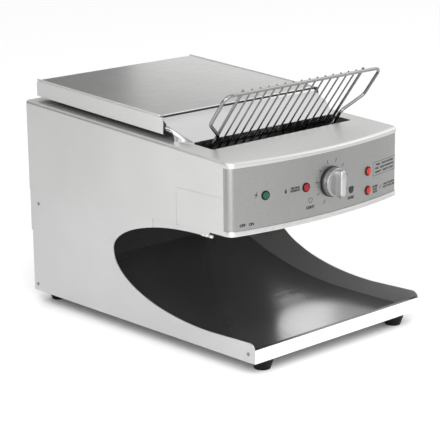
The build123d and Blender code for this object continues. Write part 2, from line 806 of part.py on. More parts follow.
def chute_body(lowered, inset):
    """Solid under the chute's ramp, lowered and drawn in by a sheet for its hollow."""
    with BuildPart(mode=Mode.PRIVATE) as ramp:
        with BuildSketch(Plane.YZ):
            with BuildLine():
                crest = (chute_rear_y, chute_rear_z - lowered)
                knee = (chute_knee_y, chute_knee_z - lowered)
                foot = (chute_front_y, chute_front_z - lowered)
                slope = Line(foot, knee)
                roll = TangentArc(knee, crest, tangent=slope % 1)
                Polyline(
                    roll @ 1,
                    (chute_rear_y, deck_z(chute_rear_y)),
                    (chute_front_y, deck_z(chute_front_y)),
                    foot,
                )
            make_face()
        extrude(amount=chute_rear_x, both=True)
        with BuildSketch(Plane.XY.offset(deck_z(chute_front_y) - plate_flange)):
            with BuildLine():
                Polyline(
                    (-chute_rear_x + inset, chute_rear_y + inset),
                    (-chute_rear_x + inset, chute_taper_y),
                    (-chute_front_x + inset, chute_front_y),
                    (chute_front_x - inset, chute_front_y),
                    (chute_rear_x - inset, chute_taper_y),
                    (chute_rear_x - inset, chute_rear_y + inset),
                    close=True,
                )
            make_face()
        extrude(amount=plate_flange + chute_rear_z, mode=Mode.INTERSECT)
    return ramp.part


with BuildPart() as feed_chute:
    add(chute_body(0, 0))
    add(chute_body(1.1 * liner_sheet, liner_sheet), mode=Mode.SUBTRACT)
    notch_run, notch_rise = chute_notch
    notch_y = chute_rear_y - notch_run
    with BuildSketch(Plane.YZ):
        with BuildLine():
            FilletPolyline(
                (notch_y, deck_z(notch_y) - liner_sheet),
                (notch_y, deck_z(notch_y) + notch_rise),
                (chute_rear_y + slack, deck_z(chute_rear_y) + notch_rise),
                radius=chute_notch_round,
            )
            Polyline(
                (chute_rear_y + slack, deck_z(chute_rear_y) + notch_rise),
                (chute_rear_y + slack, deck_z(chute_rear_y) - liner_sheet),
                (notch_y, deck_z(notch_y) - liner_sheet),
            )
        make_face()
    extrude(amount=plate_half_width, both=True, mode=Mode.SUBTRACT)
    chute_lip_x = chute_front_x - liner_sheet / 2
    with BuildSketch(Plane.YZ.offset(-chute_lip_x)):
        with BuildLine():
            lip = Polyline(
                (chute_front_y + 2 * liner_sheet, chute_front_z + liner_sheet),
                (chute_front_y, chute_front_z),
                path_point(chute_lip_n, chute_lip_t),
            )
            offset(amount=liner_sheet, side=Side.LEFT)
        make_face()
    extrude(amount=2 * chute_lip_x)
write_part(feed_chute, "feed_chute")


# ================================================================ front
front_holes = [(*spot, lamp_radius) for spot in lamp_spots]
front_holes += [(*spot, housing_radius) for spot in button_spots]
front_holes += [(knob_x, control_z, bush_radius)]


def drill_front():
    """Holes through the front for the lamps, the buttons and the knob's bush."""
    for x, z, radius in front_holes:
        with BuildSketch(fascia_plane(x, z, band_proud), mode=Mode.PRIVATE) as hole:
            Circle(radius)
        extrude(hole.sketch, amount=-4 * band_proud, mode=Mode.SUBTRACT)


def switch_opening():
    """Opening for the rocker switch through the front cover's flange and the floor."""
    with BuildSketch(Plane.XY.offset(rim_bottom_z), mode=Mode.PRIVATE) as opening:
        with Locations((switch_x, switch_y)):
            Rectangle(2 * switch_half[0], 2 * switch_half[1])
    extrude(opening.sketch, amount=2 * (hood_sheet + wall_sheet), mode=Mode.SUBTRACT)


with BuildPart() as fascia_panel:
    with BuildSketch(Plane.XY.offset(fascia_bottom_z)):
        body_outline(0, 0)
        body_outline(fascia_sheet, -fascia_sheet, mode=Mode.SUBTRACT)
        clear_behind(fascia_wrap_y)
    extrude(amount=fascia_top_z - fascia_bottom_z)
    drill_front()
write_part(fascia_panel, "fascia_panel")

with BuildPart() as front_cover:
    with BuildSketch(Plane.XY.offset(fascia_bottom_z - slack)):
        body_outline(fascia_sheet, -fascia_sheet)
        body_outline(fascia_sheet + hood_sheet, -fascia_sheet - hood_sheet, mode=Mode.SUBTRACT)
        clear_behind(fascia_wrap_y)
    extrude(amount=fascia_top_z - fascia_bottom_z + slack)
    with BuildSketch(Plane.XY.offset(rim_bottom_z)):
        body_outline(0, 0)
        body_outline(fascia_sheet + hood_sheet, -fascia_sheet - hood_sheet, mode=Mode.SUBTRACT)
        clear_behind(wing_rear_y - slack)
        ahead = (Align.CENTER, Align.MAX)
        with Locations((0, fascia_wrap_y)):
            Rectangle(2 * overall_width, overall_depth, align=ahead, mode=Mode.SUBTRACT)
    extrude(amount=wing_top_z - rim_bottom_z - slack)
    with BuildSketch(Plane.XY.offset(rim_bottom_z)):
        body_outline(0, band_proud)
        body_outline(fascia_sheet + hood_sheet, -fascia_sheet - hood_sheet, mode=Mode.SUBTRACT)
        clear_behind(rim_rear_y)
    extrude(amount=fascia_bottom_z - rim_bottom_z - slack)
    with BuildSketch(Plane.XY.offset(rim_bottom_z)):
        body_outline(hood_sheet, -hood_sheet)
        body_outline(rim_flange, -rim_flange, mode=Mode.SUBTRACT)
        clear_behind(frame_plate_front_y - slack)
    extrude(amount=hood_sheet)
    drill_front()
write_part(front_cover, "front_cover")

with BuildPart() as control_floor:
    with BuildSketch(Plane.XY.offset(rim_bottom_z + hood_sheet)):
        body_outline(floor_inset, -floor_inset)
        clear_behind(floor_rear_y)
    extrude(amount=wall_sheet)
    with BuildSketch(Plane.XY.offset(rim_bottom_z + hood_sheet)):
        with Locations((0, floor_rear_y - wall_sheet / 2)):
            Rectangle(2 * (half_width - floor_inset), wall_sheet)
    extrude(amount=rim_flange)
    switch_opening()
write_part(control_floor, "control_floor")


def turned(plane, outline):
    """Turn an outline of (radius, distance out) points about a plane's normal."""
    side_on = Plane(origin=plane.origin, x_dir=plane.x_dir, z_dir=plane.x_dir.cross(plane.z_dir))
    with BuildSketch(side_on, mode=Mode.PRIVATE) as profile:
        with BuildLine():
            Polyline(*outline, close=True)
        make_face()
    revolve(profile.sketch, axis=Axis(plane.origin, plane.z_dir))


lamp_outline = lamp_dome + [
    (bezel_radius, lamp_rim),
    (bezel_radius, bezel_seat),
    (lamp_radius, bezel_seat),
    (lamp_radius, -lamp_depth),
    (0, -lamp_depth),
]
for node, (x, z) in zip(["power_lamp", "heating_lamp"], lamp_spots):
    with BuildPart() as lamp:
        turned(fascia_plane(x, z), lamp_outline)
    write_part(lamp, node)

button_bore = button_radius + slack
stem_end = -housing_depth - button_travel / 2
button_outline = [
    (0, button_proud),
    (button_radius - button_round, button_proud),
    (button_radius, button_proud - button_round),
    (button_radius, -button_skirt),
    (stem_radius, -button_skirt),
    (stem_radius, stem_end),
    (0, stem_end),
]
housing_outline = [
    (button_bore, bezel_seat + 1.0),
    (bezel_radius + bezel_seat, 2.5 * bezel_seat),
    (bezel_radius + bezel_seat, bezel_seat),
    (housing_radius, bezel_seat),
    (housing_radius, -housing_depth),
    (stem_radius + running, -housing_depth),
    (stem_radius + running, housing_floor - housing_depth),
    (button_bore, housing_floor - housing_depth),
]
for node, (x, z) in zip(["mode_button", "saver_button"], button_spots):
    with BuildPart() as button:
        turned(fascia_plane(x, z), button_outline)
    write_part(button, node)
    with BuildPart() as button_housing:
        turned(fascia_plane(x, z), housing_outline)
    write_part(button_housing, f"{node}_housing")

knob_plane = fascia_plane(knob_x, control_z)
skirt_back, skirt_front = knob_skirt
with BuildPart() as speed_knob:
    turned(knob_plane, [
        (0, skirt_back),
        (0, knob_height),
        (barrel_radius - 1.0, knob_height),
        (barrel_radius, knob_height - 1.0),
        (barrel_radius + 0.6, skirt_front),
        (knob_radius - 0.8, skirt_front),
        (knob_radius, skirt_front - 0.8),
        (knob_radius, skirt_back),
    ])
    with BuildSketch(knob_plane.offset(knob_height)):
        Circle(barrel_radius)
        Rectangle(grip_width, 2 * barrel_radius, mode=Mode.INTERSECT)
    extrude(amount=grip_height - knob_height, taper=grip_taper)
    fillet(speed_knob.faces().sort_by(Axis.Y)[0].edges(), radius=grip_round)
    with BuildSketch(knob_plane.offset(-shaft_length)):
        Circle(shaft_radius)
    extrude(amount=shaft_length + 2 * skirt_back)
write_part(speed_knob, "speed_knob")

control_bore = shaft_radius + running
bush_front = skirt_back - bezel_seat
with BuildPart() as speed_control:
    turned(knob_plane, [
        (control_bore, bush_front),
        (bush_radius, bush_front),
        (bush_radius, -bush_depth),
        (control_radius, -bush_depth),
        (control_radius, -control_depth),
        (control_bore, -control_depth),
    ])
write_part(speed_control, "speed_control")

pivot = (switch_x, switch_y, rim_bottom_z + rocker_pivot_rise)
pin_bore_half = rocker_pin_half + 0.5
with BuildPart() as switch_housing:
    with BuildSketch(Plane.XY.offset(rim_bottom_z)):
        with Locations((switch_x, switch_y)):
            RectangleRounded(2 * bezel_half[0], 2 * bezel_half[1], switch_bezel)
    extrude(amount=-switch_bezel)
    with BuildSketch(Plane.XY.offset(rim_bottom_z)):
        with Locations((switch_x, switch_y)):
            Rectangle(2 * switch_half[0], 2 * switch_half[1])
    extrude(amount=switch_depth)
    with BuildSketch(Plane.XY.offset(rim_bottom_z - switch_bezel)):
        with Locations((switch_x, switch_y)):
            Rectangle(2 * (rocker_half[0] + rocker_gap[0]), 2 * (rocker_half[1] + rocker_gap[1]))
    extrude(amount=switch_depth * 2 / 3, mode=Mode.SUBTRACT)
    pin_ends = [Vector(*pivot) + Vector(0, end, 0) for end in (-pin_bore_half, pin_bore_half)]
    rod(*pin_ends, rocker_pin + running, Mode.SUBTRACT)
write_part(switch_housing, "switch_housing")

back, waist, tips = rocker_drop
with BuildPart() as power_rocker:
    length, width = rocker_half
    rocker_plane = Plane(origin=pivot, x_dir=(1, 0, 0), z_dir=(0, -1, 0))
    with BuildSketch(rocker_plane.offset(-width)):
        with BuildLine():
            Polyline(
                (-length, back),
                (-length, -back),
                (slack - length, -tips),
                (0, -waist),
                (length - slack, -tips),
                (length, -back),
                (length, back),
                close=True,
            )
        make_face()
    extrude(amount=2 * width)
    fillet(power_rocker.edges().filter_by(Axis.Y).group_by(Axis.Z)[0], radius=rocker_pin * 0.8)
    pin_ends = [Vector(*pivot) + Vector(0, end, 0) for end in (-rocker_pin_half, rocker_pin_half)]
    rod(*pin_ends, rocker_pin)
power_rocker.part = power_rocker.part.rotate(Axis(pivot, (0, 1, 0)), rocker_tilt)
write_part(power_rocker, "power_rocker")


# ================================================================ frame and chamber
crank_spots = [path_point(-crank_radius - crank_gap, t) for t in walk_t]
spacer_spots = [path_point(*place) for place in spacer_places]
insulator_spots = [path_point(n, t) for n, ts in (front_bank, rear_bank) for t in ts]
frame_plate_rear_y = ceiling_front_y - 2 * liner_sheet
frame_plate_top_z = fascia_top_z - frame_top_drop


def wall_top_z(y):
    """Top edge of the chamber walls, just under the deck's sheet."""
    return deck_z(y) - hood_sheet - wall_top_gap


wall_front_y = path_y - wall_runs[0]
wall_shoulder_y = path_y + wall_runs[1]
wall_rear_y = path_y + wall_runs[2]
wall_toe_y = path_y + wall_runs[3]
wall_outline = [
    (wall_front_y, wall_top_z(wall_front_y)),
    (wall_shoulder_y, wall_top_z(wall_shoulder_y)),
    (wall_rear_y, path_z - wall_falls[0]),
    (wall_rear_y, path_z - wall_falls[1]),
    (wall_toe_y, path_z - wall_falls[1]),
    (wall_front_y, path_z - wall_falls[2]),
]
for side in (-1, 1):
    with BuildPart() as frame_plate:
        arch_y = cutout_apex_y - cutout_upper[0]
        arch_z = cutout_apex_z + cutout_upper[1]
        with BuildSketch(Plane.YZ.offset(side * frame_inner_x)):
            with BuildLine():
                Polyline(
                    (frame_plate_front_y, arch_z),
                    (frame_plate_front_y, frame_plate_top_z),
                    (frame_plate_rear_y, frame_plate_top_z),
                    (frame_plate_rear_y, cutout_apex_z),
                    (arch_y, cutout_apex_z),
                    (arch_y, arch_z),
                    close=True,
                )
            make_face()
            with Locations((arch_y, cutout_apex_z)):
                Ellipse(*cutout_upper, mode=Mode.SUBTRACT)
        extrude(amount=side * frame_sheet)
    write_part(frame_plate, f"{side_name(side)}_frame_plate")

    with BuildPart() as chamber_wall:
        with BuildSketch(Plane.YZ.offset(side * chamber_x)):
            with BuildLine():
                Polyline(*wall_outline, close=True)
            make_face()
            with Locations(*insulator_spots):
                Circle(insulator_waist, mode=Mode.SUBTRACT)
            with Locations(*crank_spots):
                Circle(crank_opening, mode=Mode.SUBTRACT)
        extrude(amount=side * wall_sheet)
    write_part(chamber_wall, f"{side_name(side)}_chamber_wall")

with BuildPart() as chamber_spacers:
    for side in (-1, 1):
        for spot in spacer_spots:
            side_rod(side, (chamber_x + wall_sheet, frame_inner_x), spot, spacer_radius)
write_part(chamber_spacers, "chamber_spacers")

for node, (n, positions) in (("front_elements", front_bank), ("rear_elements", rear_bank)):
    with BuildPart() as elements:
        for t in positions:
            cross_run(chamber_x + element_end, n, t, element_radius)
            cross_run(chamber_x + pin_end, n, t, pin_radius)
    write_part(elements, node)

wall_outer_x = chamber_x + wall_sheet
with BuildPart() as element_insulators:
    for side in (-1, 1):
        for spot in insulator_spots:
            side_rod(side, (chamber_x - insulator_collar, chamber_x), spot, insulator_radius)
            side_rod(side, (chamber_x, wall_outer_x), spot, insulator_waist)
            side_rod(side, (wall_outer_x, wall_outer_x + insulator_collar), spot, insulator_radius)
            bore_x = (chamber_x - 2 * insulator_collar, chamber_x + 2 * insulator_collar)
            side_rod(side, bore_x, spot, element_radius, Mode.SUBTRACT)
write_part(element_insulators, "element_insulators")


def reflector(place, outward, node_name):
    """Reflector sheet beside an element bank, with a flange folded towards the bank at its foot."""
    n, start_t, end_t = place
    back_n = n + outward * liner_sheet
    flange_n = n - outward * reflector_flange
    with BuildPart() as sheet:
        with BuildSketch(Plane.YZ.offset(-chamber_x)):
            with BuildLine():
                Polyline(
                    path_point(n, start_t),
                    path_point(n, end_t - liner_sheet),
                    path_point(flange_n, end_t - liner_sheet),
                    path_point(flange_n, end_t),
                    path_point(back_n, end_t),
                    path_point(back_n, start_t),
                    close=True,
                )
            make_face()
        extrude(amount=2 * chamber_x)
    write_part(sheet, node_name)


reflector(front_reflector_at, -1, "front_reflector")
reflector(rear_reflector_at, 1, "rear_reflector")

# ================================================================ racks
outer_n = weld - (wire + frame_rod) / 2
cross_n = rung_weld - (wire + cross_rod) / 2
bar_n = (bar - wire) / 2
bar_x = chamber_x - bar_inset
leg_x = chamber_x - leg_inset
loop_x = half_width - loop_inset
wire_pitch = 2 * bar_x / (wire_count + 1)
wire_xs = [wire_pitch * (number - (wire_count - 1) / 2) for number in range(wire_count)]
wire_start_t = -loop_top - wire / 2
wire_end_t = leg_rung_t + cross_rod / 2

with BuildPart() as feed_rack:
    neck, shoulder = loop_shoulder
    with BuildLine(path_plane(outer_n)) as loop:
        FilletPolyline(
            (-leg_x, leg_end_t),
            (-leg_x, -neck),
            (-loop_x, -shoulder),
            (-loop_x, -loop_top),
            (loop_x, -loop_top),
            (loop_x, -shoulder),
            (leg_x, -neck),
            (leg_x, leg_end_t),
            radius=loop_round,
        )
    with BuildSketch(Plane(origin=loop.line @ 0, z_dir=loop.line % 0)):
        Circle(frame_rod / 2)
    sweep()
    cross_run(leg_x, cross_n, leg_rung_t, cross_rod / 2)
    for x in wire_xs:
        wire_run(x, 0, wire_start_t, wire_end_t, wire / 2)
    for x in (-bar_x, bar_x):
        wire_run(x, bar_n, wire_start_t, wire_end_t, bar / 2)
write_part(feed_rack, "feed_rack")

with BuildPart() as rack_sockets:
    socket_start, socket_end = socket_t
    for side in (-1, 1):
        with BuildSketch(path_plane(outer_n)):
            with Locations((side * (leg_x + chamber_x) / 2, (socket_start + socket_end) / 2)):
                Rectangle(chamber_x - leg_x, 2 * frame_rod)
        extrude(amount=wall_sheet / 2, both=True)
        wire_run(side * leg_x, outer_n, socket_start, socket_end, socket_radius)
        bore = [(side * leg_x, *path_point(outer_n, t)) for t in (socket_start - 1, socket_end + 1)]
        rod(*bore, frame_rod / 2 + slack, Mode.SUBTRACT)
write_part(rack_sockets, "rack_sockets")

with BuildPart() as lower_guide_rack:
    for t in lower_rungs_t:
        cross_run(chamber_x, cross_n, t, cross_rod / 2)
    for x in wire_xs:
        wire_run(x, 0, *lower_rack_t, wire / 2)
    for x in (-bar_x, bar_x):
        wire_run(x, bar_n, *lower_bars_t, bar / 2)
write_part(lower_guide_rack, "lower_guide_rack")

with BuildPart() as upper_guard_rack:
    for t in guard_rungs_t:
        cross_run(chamber_x, toast_gap - cross_n, t, cross_rod / 2)
    for x in wire_xs:
        wire_run(x, toast_gap, *guard_rack_t, wire / 2)
write_part(upper_guard_rack, "upper_guard_rack")

rod_n = -2 * crank_radius - crank_gap   # the cross rods at rest, at the lowest point of their circle
walk_n = rod_n + rod_depth
rod_spots = [path_point(rod_n, t) for t in walk_t]
walk_start_t, walk_end_t = walk_t
walk_xs = [wire_pitch * (number - wire_count / 2) for number in range(wire_count + 1)]
staple_path = [(rod_n, walk_start_t), (walk_n, walk_start_t), (walk_n, walk_end_t), (rod_n, walk_end_t)]
with BuildPart() as walking_rack:
    for t in walk_t:
        cross_run(crank_x[1], rod_n, t, walk_rod / 2)
    for x in walk_xs:
        with BuildLine() as staple:
            FilletPolyline(*[(x, *path_point(*place)) for place in staple_path], radius=staple_bend)
        with BuildSketch(Plane(origin=staple.line @ 0, z_dir=staple.line % 0)):
            Circle(wire / 2)
        sweep()
        for t in spur_ts:
            spur_top = path_point(walk_n + wire / 2 + spur_height, t)
            rod((x, *path_point(walk_n, t)), (x, *spur_top), spur_radius)
write_part(walking_rack, "walking_rack")

# ================================================================ drive
throw = Vector(*path_point(-crank_radius, 0)) - Vector(path_y, path_z)
pin_spot = Vector(*motor_spot) + throw

with BuildPart() as drive_arm:
    near = Vector(*rod_spots[1])
    span = pin_spot - near
    with BuildSketch(Plane.YZ.offset(arm_x[0])):
        with Locations(Location((near + pin_spot) / 2, degrees(atan2(span.Y, span.X)))):
            SlotCenterToCenter(span.length, 2 * arm_half_width)
        with Locations(near):
            Circle(walk_rod / 2, mode=Mode.SUBTRACT)
        with Locations(pin_spot):
            Circle(motor_pin + running, mode=Mode.SUBTRACT)
    extrude(amount=arm_sheet)
write_part(drive_arm, "drive_arm")

for side in (-1, 1):
    for level, axis_spot, rod_spot in zip(("upper", "lower"), crank_spots, rod_spots):
        with BuildPart() as guide_crank:
            side_rod(side, crank_x, axis_spot, crank_disc)
            side_rod(side, (crank_x[1], frame_inner_x - slack), axis_spot, crank_stub)
            rod_hole_x = (crank_x[0], crank_x[1] + slack)
            side_rod(side, rod_hole_x, rod_spot, walk_rod / 2 + rod_running, Mode.SUBTRACT)
        write_part(guide_crank, f"{level}_{side_name(side)}_crank")

bush_x = (frame_inner_x - crank_bush_length, frame_inner_x)
with BuildPart() as crank_bushes:
    for side in (-1, 1):
        for spot in crank_spots:
            side_rod(side, bush_x, spot, crank_bush_radius)
            side_rod(side, (frame_inner_x - wall_sheet, frame_inner_x), spot, crank_bush_flange)
            bore_x = (bush_x[0] - 1, frame_inner_x)
            side_rod(side, bore_x, spot, crank_stub + running, Mode.SUBTRACT)
write_part(crank_bushes, "crank_bushes")

disc_front_x = arm_x[0] - motor_disc_gap
disc_back_x = disc_front_x - motor_disc_sheet
with BuildPart() as motor_crank:
    side_rod(1, (disc_back_x, disc_front_x), motor_spot, motor_disc)
    side_rod(1, (disc_front_x, arm_x[1] + wall_sheet), (pin_spot.X, pin_spot.Y), motor_pin)
    side_rod(1, (disc_back_x - motor_shaft_length, disc_back_x), motor_spot, motor_shaft)
write_part(motor_crank, "motor_crank")

gearbox_depth, gearbox_height, gearbox_length = gearbox_size
gearbox_end_x = disc_back_x - gearbox_gap
gearbox_start_x = gearbox_end_x - gearbox_length
can_spot = (motor_spot[0], motor_spot[1] + motor_can_rise)
with BuildPart() as gear_motor:
    with BuildSketch(Plane.YZ.offset(gearbox_start_x)):
        with Locations((motor_spot[0], motor_spot[1] + gearbox_rise)):
            RectangleRounded(gearbox_depth, gearbox_height, motor_shaft)
    extrude(amount=gearbox_length)
    can_start_x = gearbox_start_x - motor_can[1]
    side_rod(1, (can_start_x, gearbox_start_x), can_spot, motor_can[0])
    side_rod(1, (can_start_x - motor_cap[1], can_start_x), can_spot, motor_cap[0])
    side_rod(1, (gearbox_end_x, gearbox_end_x + bracket_sheet), motor_spot, crank_bush_flange)
    bore_x = (disc_back_x - motor_shaft_length - slack, disc_back_x)
    side_rod(1, bore_x, motor_spot, motor_shaft + running, Mode.SUBTRACT)
write_part(gear_motor, "gear_motor")

ceiling_front_z = hood_edge_z(ceiling_front_y) - liner_sheet
ceiling_run = slide_wall_top[0] - ceiling_front_y
ceiling_fall = (ceiling_front_z - slide_wall_top[1]) / ceiling_run


def ceiling_z(y):
    """Top of the ceiling over the slide at depth y."""
    rise = (slide_wall_top[0] - y) * ceiling_fall
    return slide_wall_top[1] + rise + liner_sheet * sqrt(1 + ceiling_fall ** 2)


bracket_front_y = motor_spot[0] - bracket_reach
bracket_rear_y = motor_spot[0] + bracket_reach
bracket_top_z = motor_spot[1] + bracket_height
with BuildPart() as motor_bracket:
    with BuildSketch(Plane.YZ.offset(gearbox_end_x)):
        with BuildLine():
            Polyline(
                (bracket_front_y, ceiling_z(bracket_front_y)),
                (bracket_rear_y, ceiling_z(bracket_rear_y)),
                (bracket_rear_y, bracket_top_z),
                (bracket_front_y, bracket_top_z),
                close=True,
            )
        make_face()
        with Locations(motor_spot):
            Circle(crank_bush_flange, mode=Mode.SUBTRACT)
    extrude(amount=bracket_sheet)
    with BuildSketch(Plane.YZ.offset(gearbox_end_x)):
        with BuildLine():
            Polyline(
                (bracket_front_y, ceiling_z(bracket_front_y)),
                (bracket_rear_y, ceiling_z(bracket_rear_y)),
                (bracket_rear_y, ceiling_z(bracket_rear_y) + bracket_sheet),
                (bracket_front_y, ceiling_z(bracket_front_y) + bracket_sheet),
                close=True,
            )
        make_face()
    extrude(amount=-bracket_foot)
write_part(motor_bracket, "motor_bracket")

# ================================================================ fan and board
fan_face_y = rear_inside_y - wall_sheet
fan_plane = Plane(origin=(fan_x, fan_face_y, vent_z), x_dir=(1, 0, 0), z_dir=(0, -1, 0))
with BuildPart() as fan_frame:
    with BuildSketch(fan_plane):
        RectangleRounded(fan_size, fan_size, fan_corner)
        Circle(fan_bore, mode=Mode.SUBTRACT)
        with GridLocations(fan_screw_pitch, fan_screw_pitch, 2, 2):
            Circle(fan_screw_radius, mode=Mode.SUBTRACT)
    extrude(amount=fan_depth)
    with BuildSketch(fan_plane.offset(fan_depth - fan_spider)):
        Circle(fan_hub - 1)
        with PolarLocations(fan_bore * 2 / 3, 4):
            Rectangle(fan_bore * 0.76, fan_corner)
        Circle(fan_pin + running, mode=Mode.SUBTRACT)
    extrude(amount=fan_spider)
write_part(fan_frame, "fan_frame")

blade_depth, blade_sheet, blade_pitch = fan_blades
hub_depth = fan_depth - fan_spider - 5.0
with BuildPart() as fan_impeller:
    with BuildSketch(fan_plane.offset(3)):
        Circle(fan_hub)
    extrude(amount=hub_depth)
    with BuildSketch(fan_plane.offset(3 + hub_depth)):
        Circle(fan_pin)
    extrude(amount=5)
    with BuildSketch(fan_plane.offset(4)):
        with PolarLocations(fan_bore * 0.63, fan_blade_count):
            with Locations(Rot(0, 0, blade_pitch)):
                Rectangle(fan_bore * 0.63, blade_sheet)
    extrude(amount=blade_depth)
write_part(fan_impeller, "fan_impeller")

floor_top_z = rim_bottom_z + hood_sheet + wall_sheet
board_y = front_y + board_setback
board_z = floor_top_z + board_clearance + board_size[1] / 2
block_plane = Plane.XZ.offset(board_sheet - board_y)
tab_width, tab_height, tab_foot = board_tab
tab_xs = [board_x + x for x in board_tab_xs]
with BuildPart() as control_board:
    with BuildSketch(Plane.XZ.offset(-board_y)):
        with Locations((board_x, board_z)):
            Rectangle(*board_size)
    extrude(amount=board_sheet)
    for x, z, width, height in board_blocks:
        with BuildSketch(block_plane):
            with Locations((board_x + x, board_z + z)):
                Rectangle(width, height)
        extrude(amount=board_block_depth)
    with BuildSketch(block_plane):
        with Locations(*[(board_x + x, board_z + z) for x, z in board_cans]):
            Circle(board_can[0])
    extrude(amount=board_can[1])
    with BuildSketch(Plane.XZ.offset(-board_y - board_sheet)):
        with Locations(*[(x, floor_top_z) for x in tab_xs]):
            Rectangle(tab_width, tab_height, align=(Align.CENTER, Align.MIN))
    extrude(amount=board_sheet)
    with BuildSketch(Plane.XY.offset(floor_top_z)):
        with Locations(*[(x, board_y + board_sheet) for x in tab_xs]):
            Rectangle(tab_width, tab_foot, align=(Align.CENTER, Align.MIN))
    extrude(amount=wall_sheet)
write_part(control_board, "control_board")
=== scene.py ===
"""Looks of the counter-top conveyor toaster.

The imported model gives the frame: every sheet, rack, crank and control is already in its place. This
file dresses those nodes, replaces the pieces whose finish needs a finer shape, and prints the marks
on the bowed front. Lengths in the classes are millimetres; meshes are written in metres.
"""
import json
import logging
from dataclasses import dataclass, field
from enum import Enum
from math import cos, radians, sqrt, tan

import bpy
import numpy as np
from mathutils import Matrix, Vector

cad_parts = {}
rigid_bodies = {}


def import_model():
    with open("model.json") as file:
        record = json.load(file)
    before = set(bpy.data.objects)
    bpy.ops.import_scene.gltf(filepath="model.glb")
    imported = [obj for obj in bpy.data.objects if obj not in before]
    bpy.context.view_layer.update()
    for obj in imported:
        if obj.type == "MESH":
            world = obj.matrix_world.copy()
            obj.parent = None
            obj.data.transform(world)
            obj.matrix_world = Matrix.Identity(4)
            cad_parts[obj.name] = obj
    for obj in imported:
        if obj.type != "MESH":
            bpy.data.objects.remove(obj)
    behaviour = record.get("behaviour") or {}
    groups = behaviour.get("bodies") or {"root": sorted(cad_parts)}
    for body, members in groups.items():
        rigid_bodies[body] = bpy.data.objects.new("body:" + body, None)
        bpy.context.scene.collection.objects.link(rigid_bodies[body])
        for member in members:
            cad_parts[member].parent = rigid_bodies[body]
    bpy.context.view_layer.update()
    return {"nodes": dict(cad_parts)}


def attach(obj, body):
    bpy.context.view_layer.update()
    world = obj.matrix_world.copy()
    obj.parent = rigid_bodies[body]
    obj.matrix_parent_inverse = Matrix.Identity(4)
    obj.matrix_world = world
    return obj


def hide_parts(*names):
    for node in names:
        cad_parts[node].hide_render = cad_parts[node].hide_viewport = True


MM = 0.001
MERGE_M = 1e-5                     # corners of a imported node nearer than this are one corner
UP, FRONTWARD = (0.0, 0.0, 1.0), (0.0, -1.0, 0.0)
log = logging.getLogger("conveyor_toaster")


# ---------------------------------------------------------------- colours and nodes
def linear(hex_colour: str) -> tuple[float, float, float, float]:
    """Turn an sRGB hex value into a linear colour.

    Args:
        hex_colour: six hex digits with a leading hash.

    Returns:
        Red, green, blue and an alpha of one.
    """
    parts = [int(hex_colour[start:start + 2], 16) / 255 for start in (1, 3, 5)]
    return tuple(c / 12.92 if c <= 0.04045 else ((c + 0.055) / 1.055) ** 2.4 for c in parts) + (1.0,)


def add_node(material: bpy.types.Material, kind: str, settings: dict[str, object] | None = None,
             inputs: dict[object, object] | None = None) -> bpy.types.Node:
    """Add one shader node with its settings and its links.

    Args:
        material: the material, or world, whose tree gets the node.
        kind: the node's type name without the leading "ShaderNode".
        settings: attributes to set on the node.
        inputs: socket name or number to a value, or to an output socket to link from.

    Returns:
        The new node.
    """
    tree = material.node_tree
    node = tree.nodes.new("ShaderNode" + kind)
    for name, value in (settings or {}).items():
        setattr(node, name, value)
    for key, value in (inputs or {}).items():
        if isinstance(value, bpy.types.NodeSocket):
            tree.links.new(value, node.inputs[key])
        else:
            node.inputs[key].default_value = value
    return node


def set_ramp(node: bpy.types.Node, stops: list[tuple[float, tuple[float, float, float, float]]]) -> None:
    """Give a colour ramp its stops, as (position, colour) pairs."""
    ramp = node.color_ramp
    while len(ramp.elements) < len(stops):
        ramp.elements.new(0.5)
    for element, (position, colour) in zip(ramp.elements, stops):
        element.position = position
        element.color = colour


class Grain(Enum):
    """Which way the brush lines of a sheet run; the value is the axis they follow."""

    ALONG_X = 0
    ALONG_Y = 1


